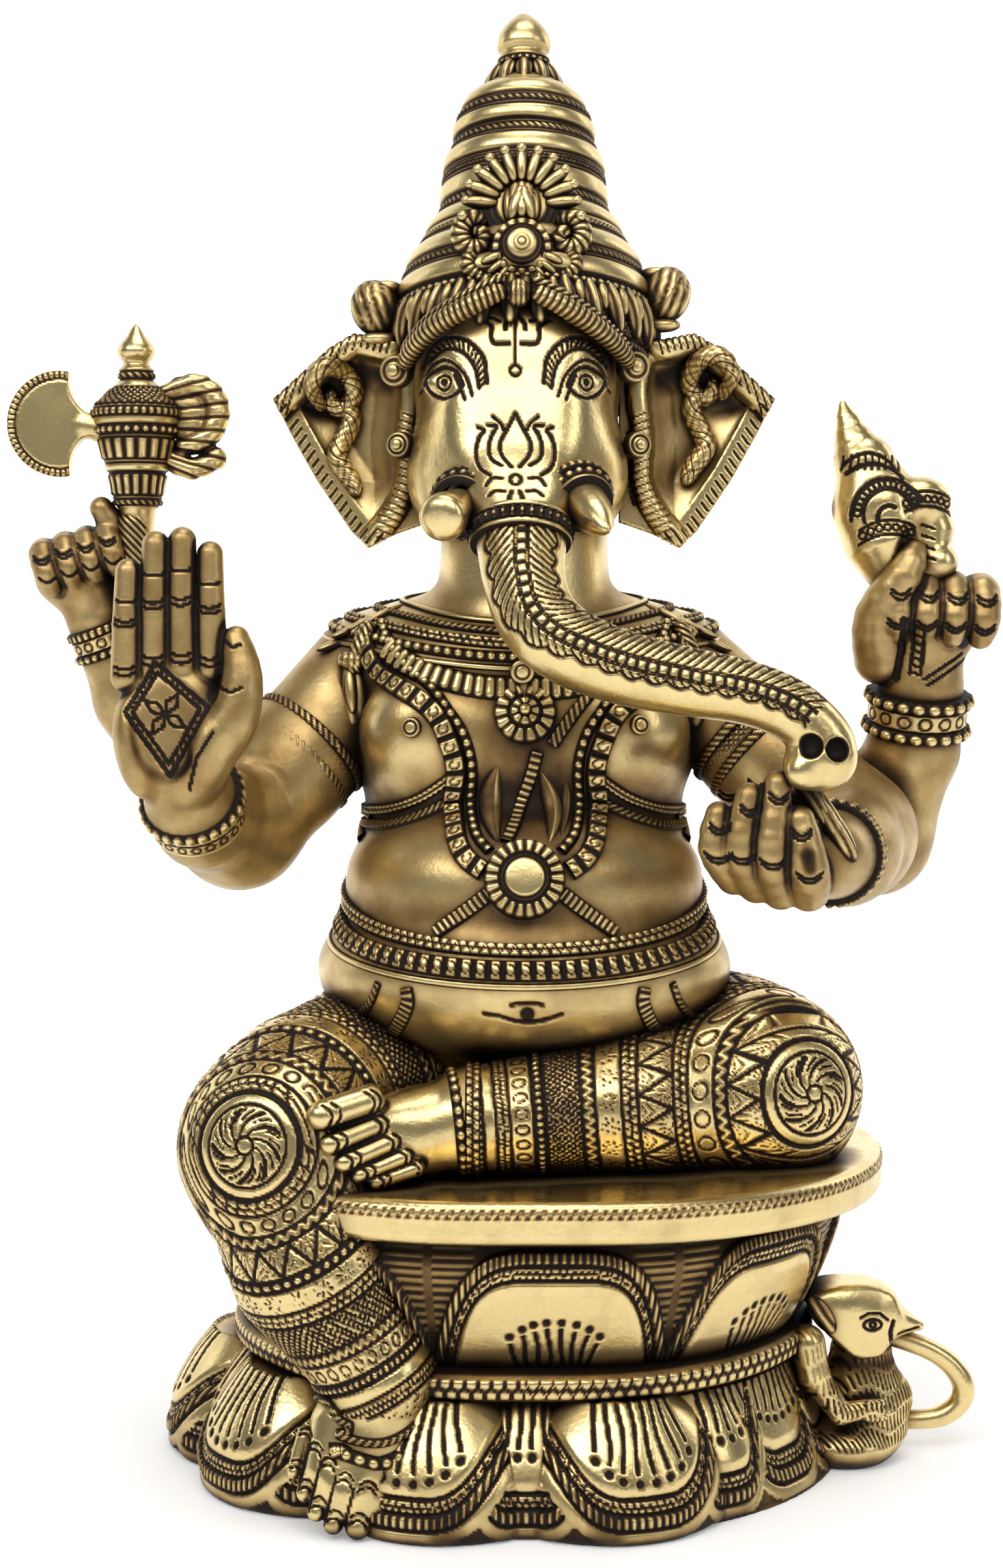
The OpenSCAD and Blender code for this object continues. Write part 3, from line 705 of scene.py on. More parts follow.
def swept(heap, middle_x, half, profile, work, fine=0.5):
    """A profile of outward reach and height swept round a long round-ended outline.

    work(s, z, run) gives the relief and patina s round it, at height z and run along it."""
    path = np.asarray(profile, float)
    path = np.column_stack([path, 0 * path[:, :1]])
    path, run = even(path, fine * COARSEN)
    reach, height = path[:, 0], path[:, 1]
    length = 4 * half + 2 * np.pi * reach.max()
    s = np.linspace(0, length, int(length / (fine * COARSEN)), endpoint=False)
    bend = np.pi * reach.max()
    quarter = np.array([half, half + bend, 3 * half + bend, 3 * half + 2 * bend])
    x = np.interp(s, [0, *quarter, length], [0, half, half, -half, -half, 0])
    angle = np.interp(s, [0, *quarter, length], [0, 0, np.pi, np.pi, 2 * np.pi, 2 * np.pi])
    slope = np.gradient(path[:, :2], axis=0)
    slope /= np.maximum(np.linalg.norm(slope, axis=1), 1e-6)[:, None]
    lift, dark = work(s[:, None], height[None, :], run[None, :])
    out = reach[None, :] + lift * slope[None, :, 1]
    z = height[None, :] - lift * slope[None, :, 0]
    sin, cos = np.sin(angle)[:, None], np.cos(angle)[:, None]
    points = np.stack([middle_x + x[:, None] + out * sin, -out * cos, z], -1)
    heap.sheet(points, dark + 0 * lift, ring=True)


# ---- finishes --------------------------------------------------------------------


def link(tree, source, target):
    tree.links.new(source, target)


# How deep a crevice is that darkens, and the size of a blotch and of the grain, in metres.
CREVICE = 0.006
BLOTCH = 1 / 110
GRAIN = 1 / 900
# Colours that patina multiplies the metal by, as it gets thicker; painted shadow takes the same colours.
TARNISH = [(0.45, (0.42, 0.33, 0.24, 1)), (0.75, (0.09, 0.055, 0.035, 1))]
BLACKENED = (0.012, 0.007, 0.004, 1)


def brass(name, gold, pale, gloss, dusk):
    """Polished brass with dark patina, and on some pieces painted shadow, where it is painted in, and with
    dark patina in its crevices.
    """
    material = bpy.data.materials.new(name)
    material.use_nodes = True
    tree = material.node_tree
    new = tree.nodes.new
    shader = tree.nodes["Principled BSDF"]
    place = new("ShaderNodeTexCoord")

    # The painted-in darkness is patina, with painted shadow on the ears and under the mouse's head.
    painted = new("ShaderNodeAttribute")
    painted.attribute_name = "patina_and_shade"
    crevice = new("ShaderNodeAmbientOcclusion")
    crevice.samples = 6
    crevice.inputs["Distance"].default_value = CREVICE

    blotch = new("ShaderNodeTexNoise")
    blotch.inputs["Scale"].default_value = 1 / BLOTCH
    blotch.inputs["Detail"].default_value = 5.0
    link(tree, place.outputs["Object"], blotch.inputs["Vector"])
    grain = new("ShaderNodeTexNoise")
    grain.inputs["Scale"].default_value = 1 / GRAIN
    grain.inputs["Detail"].default_value = 3.0
    link(tree, place.outputs["Object"], grain.inputs["Vector"])

    closed = new("ShaderNodeMapRange")
    closed.inputs["From Min"].default_value = 0.95
    closed.inputs["From Max"].default_value = 0.25
    link(tree, crevice.outputs["AO"], closed.inputs["Value"])
    deep = new("ShaderNodeMath")
    deep.operation = "MULTIPLY_ADD"
    deep.inputs[1].default_value = dusk
    link(tree, closed.outputs["Result"], deep.inputs[0])
    link(tree, painted.outputs["Fac"], deep.inputs[2])
    patchy = new("ShaderNodeMath")
    patchy.operation = "MULTIPLY_ADD"
    patchy.inputs[1].default_value = 0.44
    link(tree, blotch.outputs["Fac"], patchy.inputs[0])
    link(tree, deep.outputs["Value"], patchy.inputs[2])
    amount = new("ShaderNodeMapRange")
    amount.inputs["From Min"].default_value = 0.22
    amount.inputs["From Max"].default_value = 1.0
    link(tree, patchy.outputs["Value"], amount.inputs["Value"])

    tone = new("ShaderNodeMix")
    tone.data_type = "RGBA"
    tone.inputs["A"].default_value = (*gold, 1)
    tone.inputs["B"].default_value = (*pale, 1)
    link(tree, grain.outputs["Fac"], tone.inputs["Factor"])
    colour = new("ShaderNodeValToRGB")
    ramp = colour.color_ramp
    ramp.elements[0].color = (1, 1, 1, 1)
    ramp.elements[0].position = 0.0
    ramp.elements[1].color = BLACKENED
    ramp.elements[1].position = 1.0
    for place_on_ramp, tint in TARNISH:
        ramp.elements.new(place_on_ramp).color = tint
    link(tree, amount.outputs["Result"], colour.inputs["Fac"])
    stain = new("ShaderNodeMix")
    stain.data_type = "RGBA"
    stain.blend_type = "MULTIPLY"
    stain.inputs["Factor"].default_value = 1.0
    link(tree, tone.outputs["Result"], stain.inputs["A"])
    link(tree, colour.outputs["Color"], stain.inputs["B"])
    link(tree, stain.outputs["Result"], shader.inputs["Base Color"])

    rough = new("ShaderNodeMapRange")
    rough.inputs["To Min"].default_value = gloss
    rough.inputs["To Max"].default_value = 0.62
    link(tree, amount.outputs["Result"], rough.inputs["Value"])
    link(tree, rough.outputs["Result"], shader.inputs["Roughness"])
    metal = new("ShaderNodeMapRange")
    metal.inputs["To Min"].default_value = 1.0
    metal.inputs["To Max"].default_value = 0.55
    link(tree, amount.outputs["Result"], metal.inputs["Value"])
    link(tree, metal.outputs["Result"], shader.inputs["Metallic"])

    wear = new("ShaderNodeBump")
    wear.inputs["Strength"].default_value = 0.16
    wear.inputs["Distance"].default_value = 0.0004
    link(tree, grain.outputs["Fac"], wear.inputs["Height"])
    link(tree, wear.outputs["Normal"], shader.inputs["Normal"])
    return material


finishes = {
    POLISHED: brass("polished_brass", (0.74, 0.575, 0.26), (0.83, 0.67, 0.34), 0.27, 0.8),
    CHASED: brass("chased_brass", (0.72, 0.56, 0.25), (0.83, 0.67, 0.34), 0.3, 1.0),
}


# ---- throne ----------------------------------------------------------------------

PETALS = 10
STEMS = 8
ARCHES = 8
# How steeply the outlines of the petals and of the drum's arches turn at their corners.
PETAL_POWER = 3.6
ARCH_POWER = 4.4
ARCH_HEIGHT = 29
base_low, base_high = box_mm("lotus_base")
PETAL_NUMBERS = np.arange(0, PETALS, 0.5)
LOTUS_H = base_high[2]
BAND_TOP = box_mm("lotus_rope_band")[1][2]
SLAB_Z = slab_low[2]


def petal_relief(w, inner, tall, spread):
    """Chasing of a lotus petal: w across it and inner millimetres inside its border.

    Its stamens start where tall is 0, and the longest of them is as long as spread."""
    u = w * (1 + 0.35 * np.clip(np.abs(w) / 20, 0, 1))
    lift = np.where(inner < 3.6, 0.5 * np.sqrt(np.clip(1 - ((inner - 1.8) / 2.1) ** 2, 0, 1)), 0.0)
    dark = np.zeros(np.shape(lift))
    rim, rim_dark = milled(u, inner - 5.3, 1.6, pitch=2.0, depth=0.7)
    scale, scale_dark = scallops(u, inner - 8.7, 1.4)
    in_rim = np.abs(inner - 5.3) < 1.6
    in_scale = np.abs(inner - 8.7) < 1.4
    lift = np.where(in_rim, rim + 0.5, lift)
    dark = np.where(in_rim, rim_dark, dark)
    lift = np.where(in_scale, scale, lift)
    dark = np.where(in_scale, scale_dark, dark)
    for where in (3.6, 7.1, 10.4):
        groove = line(inner - where, 0.6)
        lift = lift - 0.7 * groove
        dark = np.maximum(dark, groove)
    field = inner > 10.8
    lift = np.where(field, 0.9 * np.clip((inner - 10.8) / 2.5, 0, 1) ** 0.5, lift)
    for k in range(STEMS):
        lane = k - (STEMS - 1) / 2
        reach = spread * np.sqrt(1 - (lane / (0.62 * STEMS)) ** 2)
        place = lane * (2.2 + 0.08 * tall) + 0.35 * np.sin(0.4 * tall + lane)
        stem = line(w - place, 0.5) * (tall > 1.5) * (tall < reach - 1.0)
        end = lane * (2.2 + 0.08 * reach) + 0.35 * np.sin(0.4 * reach + lane)
        eye = line(np.hypot(w - end, tall - reach - 0.6), 1.1)
        mark = np.maximum(stem, eye) * field
        lift = lift - 0.6 * mark
        dark = np.maximum(dark, np.sqrt(mark))
    return lift, dark


def petal_place(i):
    """The middle and outward direction of a lower petal, its radius and half its width.

    Whole numbers are front petals, and halves are the back petals between them. The
    petals by the mouse are smaller."""
    turn = 2 * np.pi * i / PETALS
    by_mouse = i in (0, PETALS - 1, PETALS - 0.5)
    scale = 0.88 if by_mouse else 1.0
    radius = 17.0 if by_mouse else 22.0
    if i != int(i):
        scale, radius = scale * 0.97, 17.0
    x = AXIS_X + scale * 66 * np.cos(turn)
    y = scale * 55 * np.sin(turn)
    out = np.array([np.cos(turn), np.sin(turn)])
    half = radius if i != int(i) else 1.2 * radius
    return np.array([x, y]), out, radius, half


def petal_form(i):
    """A petal that bulges out towards its lip."""
    middle, out, radius, half = petal_place(i)

    def distance(x, y, z):
        ahead = (x - middle[0]) * out[0] + (y - middle[1]) * out[1]
        across = (y - middle[1]) * out[0] - (x - middle[0]) * out[1]
        r = np.sqrt(ahead**2 + (across * radius / half) ** 2)
        rise = np.clip((z - 6.5) / (LOTUS_H - 5), 0, 1)
        reach = radius - 13 * rise**1.7
        reach = reach - 1.5 * np.clip(1 - z / 2.0, 0, 1) ** 2
        side = 0.85 * (r - reach)
        return np.maximum(np.maximum(side, z - LOTUS_H + 0.4), -z)

    low = np.array([*(middle - half), 0.0])
    high = np.array([*(middle + half), LOTUS_H])
    return Form(low, high, distance)


def flare(r_low, r_high, low, high):
    """A flared round-ended block between two heights."""

    def distance(x, y, z):
        inner = np.clip(x - AXIS_X, -10, 10)
        r = np.sqrt((x - AXIS_X - inner) ** 2 + y**2)
        reach = r_low + (r_high - r_low) * np.clip((z - low) / (high - low), 0, 1)
        side = (r - reach) * 0.9
        return np.maximum(np.maximum(side, z - high), low - z)

    size = max(r_low, r_high)
    return Form((AXIS_X - 10 - size, -size, low), (AXIS_X + 10 + size, size, high), distance)


def chase_base(points, facing):
    """Chasing of the lower petals: the nearest petal gives each point its work."""
    lift = np.zeros(len(points))
    dark = np.full(len(points), 0.45)
    nearest = np.full(len(points), 1e9)
    flat = points[:, :2]
    for i in PETAL_NUMBERS:
        middle, out, radius, half = petal_place(i)
        across = np.array([-out[1], out[0]])
        w = (flat - middle) @ across
        ahead = (flat - middle) @ out
        surface = petal_form(i).distance(*points.T)
        share = np.abs(w) / (half + 0.5)
        border = LOTUS_H * np.clip(share, 0, 1.2) ** PETAL_POWER
        steep = PETAL_POWER * LOTUS_H / half * np.clip(share, 0, 1) ** (PETAL_POWER - 1)
        inner = (points[:, 2] - border) / np.sqrt(1 + steep**2)
        spread = 16.0 if radius > 20 else 12.0
        closer = (surface < nearest - 0.05) & (ahead > -12) & (inner > 0)
        raised, marked = petal_relief(w, inner, LOTUS_H + 1 - points[:, 2], spread)
        lift = np.where(closer, raised, lift)
        dark = np.where(closer, marked, dark)
        nearest = np.where(closer, surface, nearest)
    side = np.linalg.norm(facing[:, :2], axis=1) > 0.3
    heart = np.hypot(np.clip(np.abs(flat[:, 0] - AXIS_X) - 10, 0, None), flat[:, 1])
    outside = side & (heart > 58) & (points[:, 2] > 0.4)
    return np.where(outside, lift, 0), np.where(outside, dark, 0.1)


def throne():
    """The lower lotus, its rope band, the drum of petals above it and the seat."""
    room = 2
    clay = Clay(base_low - room, base_high + room, 0.52)
    clay.add(flare(68, 57.5, 0, LOTUS_H))
    for i in PETAL_NUMBERS:
        clay.add(petal_form(i))
    clay.cut(flare(62.5, 50.5, -1, LOTUS_H + 1))
    cast("lotus_base_cast", clay, ["lotus_base"], chase=chase_base)

    def band_work(s, z, run):
        return scallops(s, z - (LOTUS_H + BAND_TOP) / 2, 2.3)

    heap = Heap()
    swept(
        heap, AXIS_X, 7,
        [(50, LOTUS_H), (62.8, LOTUS_H), (64, LOTUS_H + 1), (64.4, LOTUS_H + 3), (64, BAND_TOP - 1),
         (62.8, BAND_TOP), (50, BAND_TOP)],
        band_work,
    )
    heap.piece("rope_band_chased", ["lotus_rope_band"])

    def drum_work(s, z, run):
        cell = (s[-1, 0] + s[1, 0]) / ARCHES
        w = np.mod(s - 6.5 + cell / 2, cell) - cell / 2
        arch_half = cell * 0.51
        share = np.abs(w) / arch_half
        border = SLAB_Z - 1.5 - ARCH_HEIGHT * np.clip(share, 0, 1.2) ** ARCH_POWER
        steep = ARCH_POWER * ARCH_HEIGHT / arch_half * np.clip(share, 0, 1) ** (ARCH_POWER - 1)
        inner = (border - z) / np.sqrt(1 + steep**2) + 3.4
        back = inner < 3.6
        lift, dark = petal_relief(w, inner, z - BAND_TOP + 1, 13.0)
        behind = cell / 2 - np.abs(w)
        vein, vein_dark = milled(z, behind - 6, 5, pitch=2.1, depth=0.35)
        lift = np.where(back, vein - 0.9, lift)
        dark = np.where(back, np.maximum(vein_dark, 0.35), dark)
        side = (run > 8) & (run < run.max() - 8)
        return lift * side, dark * side

    heap = Heap()
    rows = []
    for rise in np.linspace(0, 1, 12):
        z = BAND_TOP + rise * (SLAB_Z - BAND_TOP)
        reach = 56 + 11 * min(rise / 0.8, 1) ** 0.8 - 1.5 * max(0, rise - 0.8) / 0.2
        rows.append((reach + 0.8 * np.sin(np.pi * rise), z))
    swept(heap, AXIS_X, 10, [(48, BAND_TOP), *rows, (54, SLAB_Z)], drum_work)
    heap.piece("lotus_drum_chased", ["lotus_drum"], POLISHED)

    def slab_work(s, z, run):
        lift, dark = zigzag(s, z - (SEAT_Z - 2.4), 1.1)
        return lift * (z < SEAT_Z - 1.2), dark * (np.abs(z - SEAT_Z + 2.4) < 1.3) * 0.8

    heap = Heap()
    swept(
        heap, AXIS_X + 3, 13,
        [(0.5, SLAB_Z), (69, SLAB_Z), (71.2, SLAB_Z + 0.7), (72, SLAB_Z + 2), (72, SEAT_Z - 2),
         (71.4, SEAT_Z - 0.7), (70, SEAT_Z), (0.5, SEAT_Z)],
        slab_work, fine=0.62,
    )
    heap.piece("seat_slab_cast", ["seat_slab"], POLISHED)


# ---- the mouse -------------------------------------------------------------------

MOUSE_Y = -13.0
SKULL = [
    (76.2, 41.0), (82.6, 43.6), (93.0, 43.8), (98.4, 41.4), (100.0, 34.0), (95.0, 25.6),
    (88.4, 25.6), (79.4, 34.0),
]


def skull(x, y, z):
    """The mouse's head: a wedge with flat faces, narrower towards the snout."""
    narrower = 1.0 * np.logaddexp(0, (x - 88) / 3) + 0.6 * np.logaddexp(0, (32 - z) / 3)
    bevel = 1.2 * np.logaddexp(0, (z - 41) / 1.5)
    found = abs(y - MOUSE_Y) - 9.4 + narrower + bevel
    for here, there in zip(SKULL, SKULL[1:] + SKULL[:1]):
        along = np.subtract(there, here)
        flat = ((z - here[1]) * along[0] - (x - here[0]) * along[1]) / np.hypot(*along)
        found = -soft_min(-found, -flat, 1.6)
    return found


def mouse():
    """A mouse that sits on its haunches, its tail looped from its neck."""
    body = Clay((66, -34, -2), (112, 14, 44), 0.42)
    body.add(limb((91, -11, 13), 11.5, (91, -11.5, 25), 7.6), 3)
    body.add(egg(np.array([86, -13, 4.5]), (14, 14, 7)), 3)
    body.add(ball((97.5, -12, 14.5), 6), 2.5)
    body.add(egg(np.array([95, -12, 7.5]), (7.5, 9, 6)), 2)
    body.add(limb((76, -24, 31), 4.6, (77.5, -25, 24), 4.0), 1.5)
    body.add(limb((77.5, -25, 24), 3.8, (84, -26, 14.5), 2.6), 1)
    body.add(limb((84, -26, 14.5), 2.6, (92, -24.5, 15.4), 2.2), 0.8)
    for k in range(3):
        body.add(limb((91, -26, 16.8 - 1.7 * k), 1.1, (94.6, -25, 17 - 1.9 * k), 0.9), 0.4)
    body.cut(below(0))

    def fur(points, facing):
        x, y, z = points.T
        lock = z / 4.6 + 0.22 * np.sin(0.6 * x)
        row = np.mod(lock, 1)
        tick = line(np.mod((x + 0.12 * z + 0.8 * y) / 1.5 + 0.5 * np.floor(lock), 1) - 0.5, 0.24)
        tick = tick * (row > 0.12) * (row < 0.9) * (z > 5) * (facing[:, 2] < 0.85)
        limbs = (x < 81) * (z > 20)
        # Painted shadow: a darker band on the mouse's chest, just under its head.
        chin_shadow = np.clip(1 - abs(z - 24) / 5, 0, 1) * (x > 82)
        return -0.3 * tick * (1 - limbs), np.maximum(0.8 * tick * (1 - 0.5 * limbs), 0.6 * chin_shadow)

    cast("mouse_body_cast", body, ["mouse_body"], chase=fur)
    head = Clay((66, -32, 20), (112, 8, 52), 0.34)
    head.add(Form((74, -26, 22), (103, 0, 47), skull), 0)
    head.add(limb((94, MOUSE_Y, 34.4), 7.0, (104.8, MOUSE_Y - 0.6, 32.4), 1.2), 3.4)

    def face(points, facing):
        eye = [(92.4 + 2.2 * math.cos(t), 34.6 + 1.35 * math.sin(t)) for t in np.linspace(0, 6.29, 14)]
        pupil = [(92.4 + 0.7 * math.cos(t), 34.6 + 0.7 * math.sin(t)) for t in np.linspace(0, 6.29, 9)]
        brow = [(89.4, 36.4), (91.6, 37.5), (94.2, 37.3), (96.2, 35.6)]
        mouth = [(99.2, 31.5), (101.6, 31.7), (104.4, 32.3)]
        cheek = [(97.6, 35.0), (96.9, 32.6), (97.2, 30.2), (98.2, 28.4)]
        strokes = [(eye, 0.4), (pupil, 0.4), (brow, 0.35), (mouth, 0.45), (cheek, 0.6)]
        lift, dark = engrave(points, facing, strokes, 0.4)
        other, shade = engrave(points, facing, strokes, 0.4, side=(0, 1, 0))
        return lift + other, np.maximum(dark, shade)

    cast("mouse_head_cast", head, ["mouse_head"], chase=face)
    ears = Heap()
    for side in (-1, 1):
        middle = (79.8, MOUSE_Y + 9.3 * side, 37.6)
        seed(ears, middle, (-0.35, 0.9 * side, -0.1), (-0.6, 0.0, 0.8), (5.4, 2.6, 1.3), veins=2)
    ears.piece("mouse_ears_cast", ["mouse_ears"], POLISHED)
    tail = Heap()
    tube(
        tail,
        [(94, -11, 30.2), (101, -11, 28.3), (108.2, -10.5, 25.3), (113.3, -10, 21.6), (116.3, -10, 16.9),
         (115.8, -10, 12.6), (111.9, -10, 9.2), (106.4, -10, 8), (97, -10, 8)],
        [2.5, 2.5, 2.5, 2.6, 2.7, 2.7, 2.6, 2.4, 2.3],
    )
    tail.piece("mouse_tail_cast", ["mouse_tail"], POLISHED)


# ---- legs ------------------------------------------------------------------------

KNEE_R, KNEE_L = at(-55, -40, 6), at(57, -19, 16)
ANKLE_R, ANKLE_L = at(-33, -56, -43), at(-12, -44, 13)


def knee_flower(points, centre, out, radius):
    """A flower of curling leaves in rings on a kneecap."""
    m = basis(out)
    local = (points - centre) @ m
    r = np.hypot(local[:, 0], local[:, 1])
    a = np.arctan2(local[:, 1], local[:, 0])
    swirl = a + r * 0.16
    leaf = line(np.abs(np.mod(swirl * 9 / (2 * np.pi), 1) - 0.5), 0.13)
    leaf = leaf * (r > 2) * (r < radius * 0.72)
    small = line(np.abs(np.mod(-swirl * 22 / (2 * np.pi), 1) - 0.5), 0.16) * (r > radius * 0.45)
    small = small * (r < radius * 0.68)
    ring = line(r - radius * 0.78, 0.4) + line(r - radius, 0.6) + line(r - 2, 0.4)
    mark = np.clip(leaf + small + ring, 0, 1)
    return -0.5 * mark, np.sqrt(mark)


def wrapped(points, knee, out, far, hip, bands, disc_r):
    """Bands of cloth that lie in rings about a kneecap, up the thigh and down the shin."""
    out = np.asarray(out, float) / np.linalg.norm(out)
    centre = knee + 22 * out
    s = np.linalg.norm(points - centre, axis=1)
    down, back = far - knee, hip - knee
    down, back = down / np.linalg.norm(down), back / np.linalg.norm(back)
    on_shin = (points - knee) @ down > (points - knee) @ back
    way = np.where(on_shin[:, None], down, back)
    across = np.cross(way, out)
    across = across / np.linalg.norm(across, axis=1)[:, None]
    up = np.cross(across, way)
    u = 19 * np.arctan2(((points - knee) * across).sum(1), ((points - knee) * up).sum(1))
    lift, dark = stack(s - disc_r, u, bands)
    inside = s < disc_r
    flower_lift, flower_dark = knee_flower(points, centre, out, disc_r * 0.96)
    return np.where(inside, flower_lift, lift), np.where(inside, flower_dark, dark)


# Bands of the cloth from the kneecap outward, and their widths.
PENDANT_BANDS = [
    (scallops, 3.2), (rings, 4.6), (zigzag, 2.8), (leaves, 7.2), (beads, 2.6), (flowers, 5.2),
    (scallops, 3.2), (hatch, 7.4), (zigzag, 2.8), (rings, 4.8), (beads, 2.6), (plain, 3.5),
    (scallops, 3.2), (flowers, 5.0), (zigzag, 2.8), (plain, 4.0), (scallops, 3.2), (plain, 30.0),
]
FOLDED_BANDS = [
    (leaves, 8.0), (zigzag, 3.2), (rings, 6.4), (scallops, 3.6), (leaves, 8.2), (scallops, 3.6),
    (flowers, 6.0), (zigzag, 3.2), (hatch, 8.4), (beads, 2.8), (rings, 5.4), (scallops, 3.2),
    (plain, 3.0), (zigzag, 3.2), (beads, 2.8), (plain, 30.0),
]


# Each toe's root, its tip and its radius, as points of the figure.
TOES_R = [
    ((-35.2, -66.6, -64.6), (-37.4, -69.6, -73.0), 2.9),
    ((-40.2, -66.4, -62.6), (-42.8, -69.2, -72.6), 2.3),
    ((-43.9, -65.2, -59.8), (-46.6, -68.0, -70.2), 2.2),
    ((-47.0, -63.4, -57.2), (-49.4, -66.0, -66.6), 2.0),
    ((-49.6, -61.0, -54.8), (-51.8, -63.4, -62.6), 1.9),
]
TOES_L = [
    ((-35.2, -56.0, 20.0), (-45.6, -61.0, 17.4), 3.6),
    ((-33.2, -56.6, 14.6), (-43.8, -62.0, 11.2), 2.6),
    ((-30.4, -57.0, 10.7), (-40.6, -61.6, 7.0), 2.4),
    ((-27.4, -57.0, 7.4), (-37.2, -60.6, 4.0), 2.1),
    ((-24.6, -56.6, 4.7), (-33.6, -59.4, 2.0), 1.9),
]


def toe_marks(toes):
    """Double creases at both ends of each toe, and the gaps between the toes."""
    strokes = []
    ends = [(np.array(a)[[0, 2]], np.array(b)[[0, 2]], size) for a, b, size in toes]
    for root, tip, size in ends:
        way = (tip - root) / np.linalg.norm(tip - root)
        side = np.array([-way[1], way[0]])
        bow = np.linspace(-1, 1, 7)[:, None]
        for share in (-0.12, 0.02, 0.72, 0.9):
            middle = root + (tip - root) * share
            arc = middle + 0.72 * size * bow * side - 0.45 * size * (1 - bow**2) * way
            strokes.append((arc + (AXIS_X, SEAT_Z), 0.28))
    for (root, tip, size), (root_2, tip_2, size_2) in zip(ends, ends[1:]):
        share = size / (size + size_2)
        top = root + (root_2 - root) * share
        foot = tip + (tip_2 - tip) * share
        gap = np.linspace(top, foot + (foot - top) * 0.15, 12)
        strokes.append((gap + (AXIS_X, SEAT_Z), 0.34))
    return strokes


def legs():
    """The hanging right leg, the folded left leg and their anklets."""
    right = Clay(at(-84, -82, -78), at(10, 40, 50), 0.5)
    right.add(limb(at(-20, 8, 22), 25, at(-50, -30, 14), 22), 4)
    right.add(limb(at(-50, -30, 12), 22, KNEE_R, 24), 4)
    right.add(limb(KNEE_R, 24, at(-48, -50, -18), 18.5), 6)
    right.add(limb(at(-48, -50, -18), 18.5, ANKLE_R, 13), 5)
    right.add(limb(ANKLE_R, 11.0, at(-34, -59, -54), 9.8), 4)
    right.add(limb(at(-34, -59, -54), 9.4, at(-39, -64.5, -66), 8.0), 3)
    right.add(limb(at(-29.5, -57.5, -53), 8.2, at(-32.4, -64.5, -69), 6.0), 3)
    right.add(limb(at(-42, -60, -53), 6.6, at(-44, -64, -62), 5.6), 3)
    for start, end, size in TOES_R:
        right.add(limb(at(*start), size, at(*end), size - 0.1), 0.5)


    def in_seat(x, y, z):
        return np.maximum(z - SEAT_Z, -y - 40)

    right.cut(Form(at(-130, -90, -90), at(130, 90, 0), in_seat))

    def chase_right(points, facing):
        lift, dark = wrapped(
            points, KNEE_R, (-0.3, -0.92, 0.2), ANKLE_R, at(-20, 8, 22), PENDANT_BANDS, 12.5
        )
        bare = points[:, 2] < SEAT_Z - 49
        lines, shade = engrave(points, facing, toe_marks(TOES_R), 0.5)
        return np.where(bare, lines, lift), np.where(bare, shade, dark)

    def foot_right(p):
        return p[:, 2] < SEAT_Z - 52

    def thigh_right(p):
        return (p - KNEE_R) @ (at(-20, 8, 22) - KNEE_R) > (p - KNEE_R) @ (ANKLE_R - KNEE_R)

    cast_parts(
        right,
        [("right_foot_cast", ["right_foot"], POLISHED, foot_right),
         ("right_thigh_chased", ["right_thigh"], POLISHED, thigh_right),
         ("right_shin_chased", ["right_shin"], POLISHED, everything)],
        chase_right,
    )

    left = Clay(at(-53, -68, -2), at(86, 40, 50), 0.5)
    left.add(limb(at(20, 8, 22), 25, at(52, -8, 19), 22), 4)
    left.add(limb(at(52, -8, 19), 21, KNEE_L, 22.5), 4)
    left.add(limb(KNEE_L, 22.5, at(28, -32, 15), 17), 5)
    left.add(limb(at(28, -32, 15), 17, ANKLE_L, 12.2), 4)
    left.add(limb(ANKLE_L, 10.5, at(-25, -46, 11), 9.4), 3)
    left.add(limb(at(-25, -47, 12), 9.0, at(-36, -53, 13), 6.4), 3)
    left.add(limb(at(-25, -47, 9), 8.4, at(-32, -53.5, 6), 5.2), 3)
    for start, end, size in TOES_L:
        left.add(limb(at(*start), size, at(*end), size - 0.1), 0.5)
    left.cut(below(SEAT_Z))

    def chase_left(points, facing):
        lift, dark = wrapped(
            points, KNEE_L, (0.42, -0.88, 0.1), ANKLE_L, at(20, 8, 22), FOLDED_BANDS, 13.0
        )
        bare = (points[:, 0] < AXIS_X - 12) & (points[:, 1] < -20)
        lines, shade = engrave(points, facing, toe_marks(TOES_L), 0.5)
        return np.where(bare, lines, lift), np.where(bare, shade, dark)

    def foot_left(p):
        return (p[:, 0] < AXIS_X - 14) & (p[:, 1] < -20)

    def thigh_left(p):
        return (p - KNEE_L) @ (at(20, 8, 22) - KNEE_L) > (p - KNEE_L) @ (ANKLE_L - KNEE_L)

    cast_parts(
        left,
        [("left_foot_cast", ["left_foot"], POLISHED, foot_left),
         ("left_thigh_chased", ["left_thigh"], POLISHED, thigh_left),
         ("left_shin_chased", ["left_shin"], POLISHED, everything)],
        chase_left,
    )

    heap = Heap()
    slope = basis((-0.24, -0.55, 0.8), (0, 1, 0))
    t = np.linspace(0, 2 * np.pi, 90, endpoint=False)
    circle = np.column_stack([12 * np.cos(t), 13.6 * np.sin(t), 0 * t]) @ slope.T
    for x, y, z, width, pattern in ((-33, -56, -51.0, 3.0, beads), (-32.4, -55, -46.6, 2.0, rope)):
        strip(heap, right, at(x, y, z) + circle, width, pattern, 0.9, ring=True)
    hoop(heap, at(-12, -44, 13), (1, 0.0, 0.0), 12.0, 3.4, scallops, 1.0)
    hoop(heap, at(-15.8, -44.6, 12.6), (1, 0.1, 0.1), 11.2, 2.6, beads, 0.9)
    heap.piece("anklets_chased", ["anklets"])


# ---- torso and its ornaments -----------------------------------------------------


